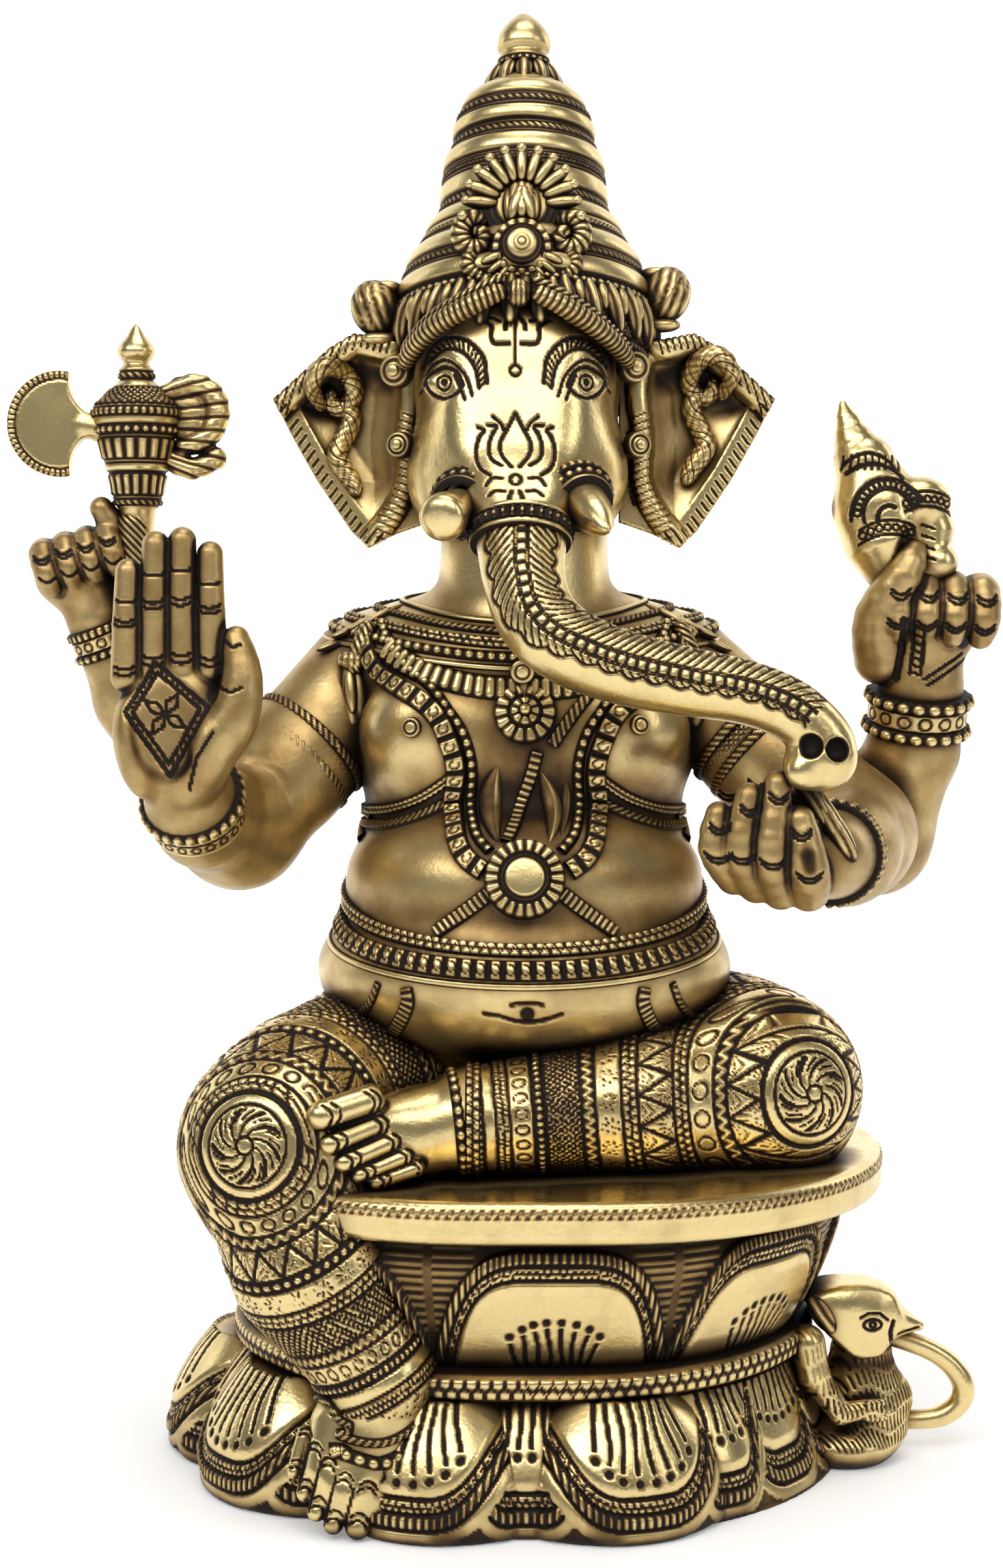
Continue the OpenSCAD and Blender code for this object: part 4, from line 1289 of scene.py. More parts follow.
def blocks(u, v, half, pitch=3.6):
    """A row of raised squares, each with a curl cut in it."""
    cell = np.mod(u, pitch) - pitch / 2
    near = np.minimum((pitch / 2 - 0.35 - np.abs(cell)) / 0.5, (half - 0.15 - np.abs(v)) / 0.5)
    rise = np.clip(near, 0, 1)
    r = np.hypot(cell, v)
    curl = line(r - half * 0.42, 0.3) * (np.arctan2(v, cell) > -2.2)
    return 1.1 * rise**0.6 - 0.4 - 0.35 * curl, np.clip((1 - rise) * 1.1 + 0.7 * curl, 0, 1)


def blocks_every(pitch):
    return lambda u, v, half: blocks(u, v, half, pitch)


def teeth(u, v, half, pitch=2.6):
    """Tall round-ended teeth that hang side by side."""
    cell = np.mod(u, pitch) - pitch / 2
    end = np.clip(np.abs(v) - (half - pitch / 2), 0, None)
    r = np.hypot(cell, end) / (pitch / 2 - 0.15)
    rise = np.sqrt(np.clip(1 - r**2, 0, 1))
    return 1.0 * rise - 0.3, np.clip(1.2 - 2 * rise, 0, 1)


def mirrored(points, middle=0.0):
    """A front path from the figure's right to its left, given its right half."""
    other = [(2 * middle - x, z) for x, z in points[::-1]]
    return [*points, *other]


def front(clay, pairs):
    """Points on the front of the clay at x from the axis and z from the seat."""
    smooth = curve(np.column_stack([pairs, np.zeros(len(pairs))]), 1.5)
    return clay.land_front(AXIS_X + smooth[:, 0], SEAT_Z + smooth[:, 1])


def loop(clay, y, z_front, z_back, rx, ry, count=160):
    """A closed path round the body, settled on it."""
    a = np.linspace(-np.pi / 2, 1.5 * np.pi, count, endpoint=False) + np.pi
    way = (1 + np.sin(a)) / 2
    out = np.column_stack([rx * np.cos(a), ry * np.sin(a), 0 * a])
    rise = np.column_stack([0 * a, 0 * a, z_front + (z_back - z_front) * way])
    points = at(0, y, 0) + out + rise
    return clay.land(points, -out)


def flat_path(points):
    """A smooth path in the front view."""
    return flat_curve(points) + (AXIS_X, SEAT_Z)


def spot(clay, x, z):
    """A point on the front of the clay and the way it faces."""
    p = clay.land_front([AXIS_X + x], [SEAT_Z + z])
    return p[0], clay.facing(p)[0]


def make_torso_clay():
    """The belly, chest, shoulders and neck in one."""
    clay = Clay(at(-62, -56, -1), at(62, 50, 156), 0.62)
    clay.add(egg(at(0, 8, 24), (52, 36, 26)))
    clay.add(egg(at(0, -8, 44), (50, 42, 24)), 8)
    clay.add(egg(at(0, -6, 66), (43, 37, 22)), 8)
    clay.add(egg(at(0, 0, 98), (42, 29, 28)), 9)
    clay.add(egg(at(0, 10, 70), (39, 29, 45)), 8)
    for side in (-1, 1):
        clay.add(egg(at(20 * side, -15, 102), (18.5, 14.5, 15)), 6)
        clay.add(limb(at(18 * side, 2, 120), 15, at(37 * side, 5, 116), 14.5), 6)
    clay.add(limb(at(0, -1, 122), 21, at(0, -2, 150), 20.2), 6)
    clay.add(egg(at(0, 1, 119), (43, 27, 14)), 7)
    clay.cut(ball(at(0.4, -50.6, 38.4), 1.7), 1.0)
    clay.cut(below(SEAT_Z))
    return clay


def torso(clay):
    """The body and all that it wears."""
    folds = [
        [(-3.4, 40.4), (-1.6, 40.9), (2.2, 40.9), (3.8, 40.5)],
        [(-9.4, 38.2), (-6.0, 37.7), (-2.4, 36.6), (0.6, 36.3), (3.6, 36.6), (8.4, 38.2)],
    ]
    strokes = [(flat_path(path), 0.5) for path in folds]

    def work(points, facing):
        lift, dark = engrave(points, facing, strokes, 0.6)
        dark = 0.7 * dark
        x, y, z = (points - at(0, 0, 0)).T
        middle = np.clip((13 - np.abs(x)) / 5, 0, 1)
        middle = middle * np.clip((z - 70) / 8, 0, 1) * np.clip((112 - z) / 14, 0, 1)
        pit = np.clip(1.9 - np.hypot(x - 0.4, z - 38.4), 0, 1) * (y < -20)
        return lift, np.maximum(np.maximum(dark, pit), 0.26 * middle * (y < 0))

    cast("torso_cast", clay, ["torso"], chase=work, reach=3.0)

    belt = Heap()
    path = loop(clay, -4, 52.6, 72, 60, 52)
    strip(belt, clay, path, 3.4, scallops, 1.0, ring=True)
    path = loop(clay, -4, 48.2, 67.4, 60, 52)
    strip(belt, clay, path, 4.8, blocks_every(3.4), 0.9, ring=True)
    path = loop(clay, -4, 44.6, 63.4, 60, 52)
    strip(belt, clay, path, 1.6, plain, 0.5, ring=True)
    belt.piece("waist_belt_chased", ["waist_belt"])

    band = Heap()
    for side in (-1, 1):
        upper = [(17.5, 91), (24, 86.4), (31, 83.2), (36, 82.2), (39.5, 81.8)]
        lower = [(17.2, 85.6), (24, 82), (31, 79.4), (36, 78.6), (39.5, 78.4)]
        strip(band, clay, front(clay, [(side * x, z) for x, z in upper]), 2.6, scallops, 0.7)
        strip(band, clay, front(clay, [(side * x, z) for x, z in lower]), 2.8, rope, 0.7)
    back = [(math.cos(t), math.sin(t)) for t in np.linspace(-0.25, math.pi + 0.25, 60)]
    for z, pattern in ((81.4, scallops), (78, rope)):
        path = clay.settle(at(0, 0, z) + np.array([(46 * c, 36 * s, 0) for c, s in back]), 8)
        strip(band, clay, path, 2.7, pattern, 0.7)
    band.piece("chest_band_chased", ["chest_band"])

    collar = Heap()
    rows = [
        (127.5, 138, 26, 24, 1.6, plain), (125.2, 136.6, 28, 26, 2.0, rope),
        (122.4, 134.8, 31, 28, 2.8, scallops), (119.2, 132.6, 34, 30, 2.6, beads),
        (116.6, 130.4, 37, 31, 1.4, plain),
    ]
    for z_front, z_back, rx, ry, width, pattern in rows:
        strip(collar, clay, loop(clay, -1, z_front, z_back, rx, ry), width, pattern, 0.8, ring=True)
    fringe = mirrored([(-33, 121.6), (-29, 118.4), (-24.6, 116), (-20, 114.4), (-13.4, 112.8), (-6, 112)])
    strip(collar, clay, front(clay, fringe), 6.0, teeth, 0.8)
    collar.piece("collar_chased", ["collar_necklace"])

    garland = Heap()
    outer = [(-38.5, 126), (-37.6, 121), (-34.3, 115.4), (-29.7, 111.9), (-25.1, 109.3), (-21.8, 106.7),
             (-19.5, 103.4), (-17.9, 99.4), (-16.6, 95.5), (-16.2, 91.7), (-16.6, 87.6), (-16.7, 83.8),
             (-16.4, 80.1), (-15.6, 76.3), (-13.4, 72.8), (-9.6, 70.2)]
    inner = [(-34.2, 127.6), (-32.3, 123), (-27.1, 116.5), (-21.8, 111.9), (-17.9, 106.7), (-14.8, 102.1),
             (-13, 96.8), (-12.4, 91.7), (-12.6, 86.6), (-12.4, 82.2), (-11.2, 77.9), (-8.2, 74.6)]
    for side in (1, -1):
        big = [(x * side + (0.4 if side < 0 else 0), z) for x, z in outer]
        small = [(x * side, z) for x, z in inner]
        strip(garland, clay, front(clay, big), 4.8, blocks_every(4.2), 1.4)
        strip(garland, clay, front(clay, small), 2.6, beads, 0.9)
    garland.piece("garland_chased", ["garland_chain"])

    pendant = Heap()
    p, out = spot(clay, 0, 106.2)
    disc(pendant, p, out, 7.4, 2.0, fluted(14, 0.5, 1.6))
    disc(pendant, p + 1.0 * out, out, 3.6, 2.0, fluted(8, 0.35, 0.9))
    disc(pendant, p + 2.2 * out, out, 1.4, 1.4, domed())
    p, out = spot(clay, -0.6, 116)
    disc(pendant, p, out, 3.2, 1.8, domed((0.55,)))
    for x, z in ((-26.5, 102.8), (26.8, 103.4)):
        p, out = spot(clay, x, z)
        disc(pendant, p, out, 2.6, 0.9, domed((0.6,), 0.8))
    pendant.piece("chest_pendant_chased", ["chest_pendant"])

    medal = Heap()
    p, out = spot(clay, -0.2, 68.6)
    disc(medal, p, out, 9.4, 3.2, fluted(22, 0.6, 1.8))
    disc(medal, p + 2.8 * out, out, 5.4, 1.0, domed((0.9,), 0.9))
    disc(medal, p + 4.0 * out, out, 1.5, 0.5, fluted(7, 0.3, 0.5))
    medal.piece("belly_medallion_chased", ["belly_medallion"])

    cords = Heap()
    for side in (-1, 1):
        strap = [(8.5 * side, 65.2), (13 * side, 61.6), (20.6 * side, 56)]
        strip(cords, clay, front(clay, strap), 3.6, milling(1.5), 0.9)
        strap = [(27.4 * side, 43.4), (27 * side, 40), (29.5 * side, 34), (33 * side, 29)]
        strip(cords, clay, front(clay, strap), 3.4, milling(1.6), 0.7)
        strap = [(34 * side, 44), (36 * side, 39), (39 * side, 35)]
        strip(cords, clay, front(clay, strap), 2.0, rope, 0.6)
    sash = [(2.8, 97), (1.2, 91), (-0.6, 86), (-2.4, 80.6), (-4.4, 76.6)]
    strip(cords, clay, front(clay, sash), 3.0, milling(1.7), 0.9)
    sash = [(15.5, 111), (11, 105.4), (6.4, 99)]
    strip(cords, clay, front(clay, sash), 3.0, rope, 0.9)
    petals = (
        [(-6.4, 94), (-8.0, 88), (-7.8, 81), (-5.8, 75)], [(3.2, 93), (5.6, 87), (6.6, 81), (5.0, 75)],
        [(9.4, 92), (9.6, 87), (9.2, 82), (8.0, 77)],
    )

    def dark_edges(u, v, half):
        return 0 * u * v, 0.5 * (np.abs(v) > 0.42 * half)

    for route, wide in zip(petals, (2.9, 2.4, 1.4)):
        path = front(clay, route)
        few = path[:: max(1, len(path) // 8)]
        swell = np.sin(np.linspace(0.12, np.pi - 0.12, len(few))) * wide
        tube(cords, few + (0, 0.5, 0), list(swell), dark_edges)
    cords.piece("sacred_cords_chased", ["sacred_cords"])

    tassels = Heap()
    for side in (-1, 1):
        top = [(37 * side, 127), (39.6 * side, 121), (41.2 * side, 115)]
        path = front(clay, top) + (0, -0.8, 0)
        few = path[:: max(1, len(path) // 5)]
        tube(tassels, few, [2.0] * len(few), rope)
        seed(tassels, path[-1] + (0.6 * side, 0.2, -4.6), (0.3 * side, -1, 0.1), (0.12 * side, 0, 1),
             (8.4, 4.4, 2.6), veins=3)
        seed(tassels, path[-1] + (0.4 * side, -1.6, -4.0), (0.3 * side, -1, 0.1), (0.12 * side, 0, 1),
             (5.6, 1.8, 1.8), veins=1)
        seed(tassels, path[-1] + (0, -1.2, 3.4), (0.2 * side, -1, 0.2), (0, 0, 1), (2.4, 4.0, 2.2), veins=5)
        for k in range(4):
            root = clay.land(at((34 + 3.6 * k) * side, -6, 150)[None], (0, 0, -1))[0]
            seed(tassels, root, (0.3 * side, -0.4, 1), (side, -0.5 + 0.1 * k, -0.3), (6.0, 1.5, 1.2), veins=1)
    tassels.piece("shoulder_tassels_chased", ["shoulder_tassels"])


# ---- arms ------------------------------------------------------------------------

# The arms and hands are a little more tarnished all over than the rest.
ARM_DUSK = 0.27


def knuckles(x, z, width, dip=0.7):
    """A little curved line across a finger, in the front view."""
    bow = np.linspace(-1, 1, 7)
    row = np.column_stack([x + width * bow, z - dip * (1 - bow**2)])
    return row + (AXIS_X, SEAT_Z), 0.34


def bracelet(heap, centre, axis, radius, rows):
    """Worked rings side by side up a limb: each is a width, a rise and a pattern."""
    axis = np.asarray(axis, float) / np.linalg.norm(axis)
    start = -sum(width for width, rise, pattern in rows) / 2
    for width, rise, pattern in rows:
        place = np.asarray(centre) + axis * (start + width / 2)
        hoop(heap, place, axis, radius, width + 0.1, pattern, rise)
        start += width


def worn(name, node, centre, axis, radius, rows):
    """A piece that is one bracelet."""
    heap = Heap()
    bracelet(heap, centre, axis, radius, rows)
    heap.piece(name, [node])


def right_front_arm():
    """The arm whose open hand blesses."""
    elbow, wrist = at(-69, -12, 79), at(-77, -38, 86)
    clay = Clay(at(-98, -62, 58), at(-30, 26, 154), 0.5)
    clay.add(limb(at(-38, 5, 115), 15, at(-58, -4, 92), 15))
    clay.add(limb(at(-58, -4, 92), 15, elbow, 15), 5)
    clay.add(limb(elbow, 14.8, at(-75, -28, 82), 12), 5)
    clay.add(limb(at(-75, -28, 82), 12, wrist, 10.2), 3)
    clay.add(limb(wrist, 10, at(-78, -44, 92), 9.5), 3)
    clay.add(egg(at(-79.5, -47, 103), (13.4, 6.4, 17)), 3)
    clay.add(egg(at(-72, -50.5, 98), (6.6, 6, 11), (0, 20, 0)), 3)
    clay.add(egg(at(-88, -49.5, 99), (4.6, 5, 11), (0, -8, 0)), 3)
    clay.cut(egg(at(-80.5, -54.6, 104), (7.4, 2.6, 11)), 2.5)
    fingers = [
        (-90.2, 115, -89.4, 138.6, 3.6, 3.0), (-83.8, 117, -83.2, 144.6, 3.7, 3.15),
        (-77.4, 117.6, -77.2, 145.6, 3.7, 3.1), (-70.8, 117, -71.0, 142.6, 3.6, 2.9),
    ]
    for x, top in ((-86.8, 130), (-80.4, 138), (-74.2, 136)):
        clay.add(limb(at(x, -46.4, 115), 2.2, at(x, -47.2, top), 1.9), 0.6)
    for x0, z0, x1, z1, r0, r1 in fingers:
        bend = at((x0 + x1) / 2, -49.4, (z0 + z1) / 2)
        r_bend = (r0 + r1) / 2
        clay.add(limb(at(x0, -48, z0), r0, bend, r_bend), 0.8)
        clay.add(limb(bend, r_bend, at(x1, -48.8, z1), r1), 0.3)
    clay.add_tube([at(-71, -50, 99), at(-65.4, -51.5, 106), at(-63.6, -51.5, 115), at(-65, -50.5, 123.6)],
                  [6.4, 5.2, 4.2, 2.9], 1.2)

    def work(points, facing):
        strokes = []
        for x0, z0, x1, z1, *radii in fingers:
            for share in (0.04, 0.1, 0.5, 0.55):
                x, z = x0 + (x1 - x0) * share, z0 + (z1 - z0) * share
                strokes.append(knuckles(x, z, 2.4))
            strokes.append(knuckles(x1, z1 - 6.5, 2.4, 0.5))
        corners = [(-83.2, 118.3), (-89.9, 107.2), (-79.9, 92.7), (-71.2, 108.2), (-83.2, 118.3)]
        outer = np.array(corners) + (AXIS_X, SEAT_Z)
        centre = outer[:4].mean(axis=0)
        for scale, width in ((1.0, 0.5), (0.8, 0.42)):
            strokes.append((centre + (outer - centre) * scale, width))
        ticks = 9
        for a, b in zip(outer[:-1], outer[1:]):
            for k in range(1, ticks):
                p = a + (b - a) * k / ticks
                strokes.append(([p, centre + (p - centre) * 0.82], 0.26))
        for k in range(4):
            t = math.radians(45 + 90 * k) + 0.2
            tip = centre + 5.4 * np.array([math.cos(t), math.sin(t)])
            for bend in (-0.42, 0.42):
                mid = centre + 3.0 * np.array([math.cos(t + bend), math.sin(t + bend)])
                strokes.append(([centre, mid, tip], 0.34))
        thumb = [
            ([(-67.2, 123), (-65.6, 121.6), (-63.6, 122.4)], 0.34),
            ([(-69, 113), (-66, 111.6), (-63.4, 112.6)], 0.34),
            ([(-69.6, 103), (-73.6, 97), (-75.4, 89.6)], 0.3),
        ]
        strokes += [(np.array(path) + (AXIS_X, SEAT_Z), width) for path, width in thumb]
        lift, dark = engrave(points, facing, strokes, 0.5)
        return lift, dark + ARM_DUSK

    def hand(p):
        return (p[:, 1] < -30) & (p[:, 2] > SEAT_Z + 86.4 + (p[:, 1] + 38) * -0.3)

    def forearm(p):
        return (p - elbow) @ (wrist - elbow) > (p - elbow) @ (at(-40, 5, 113) - elbow)

    cast_parts(
        clay,
        [("blessing_hand_cast", ["blessing_hand"], POLISHED, hand),
         ("right_forearm_cast", ["right_forearm"], POLISHED, forearm),
         ("right_upper_arm_cast", ["right_upper_arm"], POLISHED, everything)],
        work,
    )
    worn(
        "right_bracelet_chased", "right_bangle", at(-76.4, -35.6, 84.8), (-0.12, -0.72, 0.6), 10.9,
        [(1.2, 0.6, plain), (3.0, 0.7, rings), (1.2, 0.6, plain), (3.4, 1.2, teeth)],
    )


def left_front_arm():
    """The arm whose hand holds a sweet."""
    elbow, wrist = at(79, -8, 76), at(70, -40, 74)
    clay = Clay(at(32, -66, 54), at(98, 26, 136), 0.5)
    clay.add(limb(at(38, 5, 115), 15, at(60, -2, 95), 15))
    clay.add(limb(at(60, -2, 95), 15, elbow, 15.4), 5)
    clay.add(limb(elbow, 15.2, at(75, -26, 74), 13), 5)
    clay.add(limb(at(75, -26, 74), 13, wrist, 10.4), 3)
    clay.add(egg(at(63, -47, 74), (14, 9, 10), (0, -14, 0)), 4)
    fingers = [
        [(47, -51, 70), (42.6, -55.5, 77), (43, -56, 84.4)],
        [(52, -52, 68.4), (47.8, -58, 77), (49.6, -58, 88.6)],
        [(57.4, -53, 67), (54.4, -60, 76), (55.8, -59, 91.4)],
        [(63.6, -53, 67), (62.4, -60, 73), (60.6, -60, 83.4)],
    ]
    sizes = [(4.2, 4.0, 3.0), (4.4, 3.9, 3.1), (4.4, 3.9, 3.1), (4.8, 4.6, 3.4)]
    for route, radii in zip(fingers, sizes):
        clay.add_tube([at(*p) for p in route], radii, 0.9)

    def work(points, facing):
        strokes = []
        for root, bend, tip in fingers:
            strokes.append(knuckles(bend[0], bend[2] - 1.0, 3.0, 1.4))
            strokes.append(knuckles(bend[0] + 0.1, bend[2] - 2.0, 2.6, 1.4))
            strokes.append(knuckles(tip[0], tip[2] - 1.8, 2.2, 1.3))
            strokes.append(knuckles(tip[0] - 0.1, tip[2] - 2.9, 2.2, 1.3))
        lift, dark = engrave(points, facing, strokes, 0.5)
        return lift, dark + ARM_DUSK

    def hand(p):
        return (p[:, 1] < -36) & (p[:, 0] < AXIS_X + 74)

    def forearm(p):
        return (p - elbow) @ (wrist - elbow) > (p - elbow) @ (at(40, 5, 113) - elbow)

    cast_parts(
        clay,
        [("offering_hand_cast", ["offering_hand"], POLISHED, hand),
         ("left_forearm_cast", ["left_forearm"], POLISHED, forearm),
         ("left_upper_arm_cast", ["left_upper_arm"], POLISHED, everything)],
        work,
    )
    worn(
        "left_bracelet_chased", "left_bangle", at(71, -36, 74), (-0.28, -0.96, 0.0), 11.2,
        [(2.2, 0.9, beads), (1.8, 0.5, plain), (2.2, 0.9, beads)],
    )
    sweet = Heap()
    for k, (x, z) in enumerate(((64.4, 87.4), (67.2, 84.2), (69.6, 80.6))):
        seed(sweet, at(x, -54 + 0.4 * k, z), (0.5, -0.85, 0.3), (-0.55, 0, 0.83), (8.4, 2.7, 2.4), veins=3)
    seed(sweet, at(62, -50, 84), (0, -0.8, 0.6), (1, 0, 0), (7.5, 7.0, 6.0), veins=7)
    sweet.piece("sweet_chased", ["sweet"])


def fist(clay, place, size, lean=0.0):
    """A closed hand at its wrist: fingers fold down over what it holds. It has no thumb of its own."""
    m = np.array(Euler((0, math.radians(lean), 0)).to_matrix())

    def p(x, y, z):
        return np.asarray(place) + size * (m @ np.array([x, y, z], float))

    clay.add(limb(p(0, 0, 0), 9 * size, p(-1, 0, 12), 12.4 * size), 3)
    clay.add(egg(p(-1, 0, 14), (14.6 * size, 8.8 * size, 11 * size), (0, lean, 0)), 3)
    for i in range(4):
        x = -9.6 + 7.0 * i
        root = p(x, -1, 23 - 0.4 * abs(i - 1))
        route = [root, p(x + 0.2, -9, 21.4), p(x + 0.4, -12.4, 15.4), p(x + 0.4, -10.2, 11)]
        clay.add_tube(route, [4.1 * size, 4.2 * size, 3.9 * size, 3.2 * size], 0.9)
    return p


def rear_arms():
    """The arms whose fists hold the axe and the conch."""
    clay = Clay(at(-124, -16, 62), at(-22, 38, 160), 0.5)
    clay.add(limb(at(-36, 16, 114), 12.5, at(-62, 20, 94), 12))
    clay.add(limb(at(-62, 20, 94), 12, at(-82, 20, 84), 12), 5)
    clay.add(limb(at(-82, 20, 84), 12, at(-98, 18, 108), 10), 5)
    clay.add(limb(at(-98, 18, 108), 10, at(-106, 15, 128), 8), 3)
    p = fist(clay, at(-107, 14, 130), 0.8, -16)
    clay.add_tube([p(12, 0, 8), p(15, -5, 18), p(12, -9, 30)], [4.2, 3.8, 2.9], 1.0)

    def work(points, facing):
        strokes = []
        for i in range(4):
            for height in (20.6, 19.4, 13.6):
                q = p(-9.2 + 7.0 * i, 0, height) - at(0, 0, 0)
                strokes.append(knuckles(q[0], q[2], 2.0, 1.2))
        lift, dark = engrave(points, facing, strokes, 0.45)
        return lift, dark + ARM_DUSK

    def hand(q):
        return (q - at(-106, 15, 129)) @ np.array([-0.28, 0, 0.96]) > 0

    cast_parts(
        clay,
        [("right_rear_hand_cast", ["right_rear_hand"], POLISHED, hand),
         ("right_rear_arm_cast", ["right_rear_arm"], POLISHED, everything)],
        work,
    )
    worn(
        "right_rear_bracelet_chased", "right_rear_bangle",
        at(-104.4, 15.6, 124), (-0.36, -0.15, 0.92), 8.6,
        [(2.2, 0.9, beads), (3.6, 0.5, rings), (2.2, 0.9, milled)],
    )

    clay = Clay(at(22, -24, 56), at(124, 38, 160), 0.5)
    clay.add(limb(at(38, 16, 114), 12.5, at(64, 18, 90), 13))
    clay.add(limb(at(64, 18, 90), 13, at(88, 14, 74), 14), 5)
    clay.add(limb(at(88, 14, 74), 14, at(97, 8, 96), 11), 5)
    clay.add(limb(at(97, 8, 96), 11, at(98, 4, 112), 10.4), 3)
    q = fist(clay, at(98, 3, 114), 1.0, 4)
    thumb = [q(-11, -3, 4), q(-13.4, -9, 14), q(-8.6, -13, 24), q(-6, -11, 30)]
    clay.add_tube(thumb, [6.4, 5.2, 4.4, 3.2], 1.2)

    def work_left(points, facing):
        strokes = []
        for i in range(4):
            for height in (20.8, 19.6, 13.6, 12.6):
                k = q(-9.2 + 7.0 * i, 0, height) - at(0, 0, 0)
                strokes.append(knuckles(k[0], k[2], 2.4, 1.4))
        palm = [
            ([(-7, 6), (-6.4, -1), (-7.4, -8)], 0.9), ([(-4.4, 5), (-3.8, -1), (-4.4, -7)], 0.4),
            ([(-1.8, 3), (-1.4, -2), (-1.8, -7)], 0.4), ([(-1, -8.4), (9, -2)], 0.34),
            ([(0, -9.8), (10, -3.4)], 0.34),
        ]
        palm += [([(-4.2, 4.4 - 1.8 * k), (-1.8, 3.4 - 1.8 * k)], 0.3) for k in range(7)]
        base = np.array([AXIS_X + 98, SEAT_Z + 122])
        strokes += [(base + path, width) for path, width in palm]
        lift, dark = engrave(points, facing, strokes, 0.55)
        return lift, dark + ARM_DUSK

    def hand_left(k):
        return (k[:, 2] > SEAT_Z + 111.5) & (k[:, 0] > AXIS_X + 76)

    cast_parts(
        clay,
        [("left_rear_hand_cast", ["left_rear_hand"], POLISHED, hand_left),
         ("left_rear_arm_cast", ["left_rear_arm"], POLISHED, everything)],
        work_left,
    )
    worn(
        "left_rear_bracelet_chased", "left_rear_bangle",
        at(97.6, 5.4, 105.4), (0.05, -0.24, 0.97), 11.4,
        [(3.2, 1.3, beads), (4.4, 0.7, rings), (3.2, 1.3, beads)],
    )


def armlets():
    """A worked band round each upper arm."""
    heap = Heap()
    rows = [(2.4, 0.7, rope), (3.6, 0.2, hatch), (2.4, 0.7, rope)]
    bracelet(heap, at(-54, -2, 96), (-0.7, -0.35, -0.75), 15.4, rows)
    bracelet(heap, at(56, -1, 99), (0.7, -0.3, -0.7), 15.4, rows)
    heap.piece("armlets_chased", ["armlets"])


# ---- head and trunk --------------------------------------------------------------

MIDLINE = -2.3


def flat_curve(points, step=0.6):
    """A smooth path through points in the front view."""
    p = np.column_stack([points, np.zeros(len(points))])
    return curve(p, step)[:, :2]


def face_path(points, side=1):
    """A path on the face: x outward from its midline on one side, z from the seat."""
    path = flat_curve(points)
    return np.column_stack([AXIS_X + MIDLINE + side * path[:, 0], SEAT_Z + path[:, 1]])


def circle_path(x, z, rx, rz):
    """A ring on the face."""
    t = np.linspace(0, 2 * np.pi, 25)
    return np.column_stack([AXIS_X + MIDLINE + x + rx * np.cos(t), SEAT_Z + z + rz * np.sin(t)])


# Lines on each half of the face: x outward from its midline, z from the seat, and a width.
BROW_OUTER = [(6.6, 182.6), (7.4, 188.4), (11.2, 192.6), (15.8, 193.6), (19.8, 191.6), (21.6, 187.6)]
BROW_INNER = [(8.4, 181.4), (9.6, 186.6), (12.8, 190.2), (16.6, 190.8), (20.4, 188.4)]
EYE_LINES = [
    (BROW_OUTER, 0.5),
    (BROW_INNER, 0.45),
    ([(10, 179.6), (11.8, 184.6), (15.8, 188.2), (19.4, 187.6), (21.4, 185)], 0.4),
    ([(11.8, 178.8), (13.2, 182.4), (14.2, 184.6)], 0.4),
    ([(12.2, 182.2), (13.6, 185.2), (16.3, 186.6), (19.2, 185.8), (21.4, 183.6)], 0.55),
    ([(12.2, 182), (14.2, 180), (17, 179.4), (19.8, 180.9), (21.4, 183.6)], 0.45),
    ([(20.8, 183.2), (22.6, 181.8)], 0.4),
]
TRIDENT_LINES = [
    ([(7.4, 197.4), (5.6, 196), (5.6, 193.6), (4.8, 191.8), (1.4, 191.8)], 0.5),
    ([(8.2, 197.2), (6.2, 198.2), (3.6, 197.2)], 0.4),
    ([(2.4, 195.2), (1.9, 197.1), (0, 199)], 0.45),
]
LOTUS_LINES = [
    ([(0.9, 162.8), (3.1, 165.6), (3.5, 168.6), (1.7, 172), (0, 175.4)], 0.45),
    ([(2.6, 171.4), (3.4, 173), (5.2, 174.6)], 0.4),
    ([(3.3, 163.2), (5.6, 164.8), (6.2, 167.6), (5.4, 170.4), (4.3, 172.4), (6.4, 172.6)], 0.45),
    ([(5.9, 160.9), (8.3, 162.8), (9.2, 166.4), (8.4, 169.8), (7.2, 171.4), (8.6, 172.2)], 0.45),
    ([(3.2, 160.1), (5.4, 160.2), (6.8, 158.4)], 0.4),
    ([(2.5, 157), (4.8, 157.1), (6.2, 155.9)], 0.4),
    ([(0.9, 157), (1.6, 155), (1, 153.2)], 0.42),
]
LASHES = 17


def face_strokes():
    """The brows, eyes, trident and lotus that are cut in the face."""
    strokes = []
    for side in (1, -1):
        for path, width in EYE_LINES + TRIDENT_LINES + LOTUS_LINES:
            strokes.append((face_path(path, side), width))
        outer, inner = face_path(BROW_OUTER, side), face_path(BROW_INNER, side)
        for k in range(LASHES):
            share = (k + 0.5) / LASHES
            a = outer[int(share * (len(outer) - 1))]
            b = inner[int(share * (len(inner) - 1))]
            strokes.append(([a, a + (b - a) * 0.9], 0.24))
        strokes.append((circle_path(16.6 * side, 183.0, 1.6, 1.75), 0.32))
        strokes.append((circle_path(16.6 * side, 183.1, 0.35, 0.6), 0.4))
    strokes.append((face_path([(0, 197.6), (0, 187)]), 0.42))
    strokes.append((circle_path(0, 185.4, 1.2, 1.2), 0.3))
    strokes.append((circle_path(0, 159.8, 1.2, 1.2), 0.34))
    return strokes


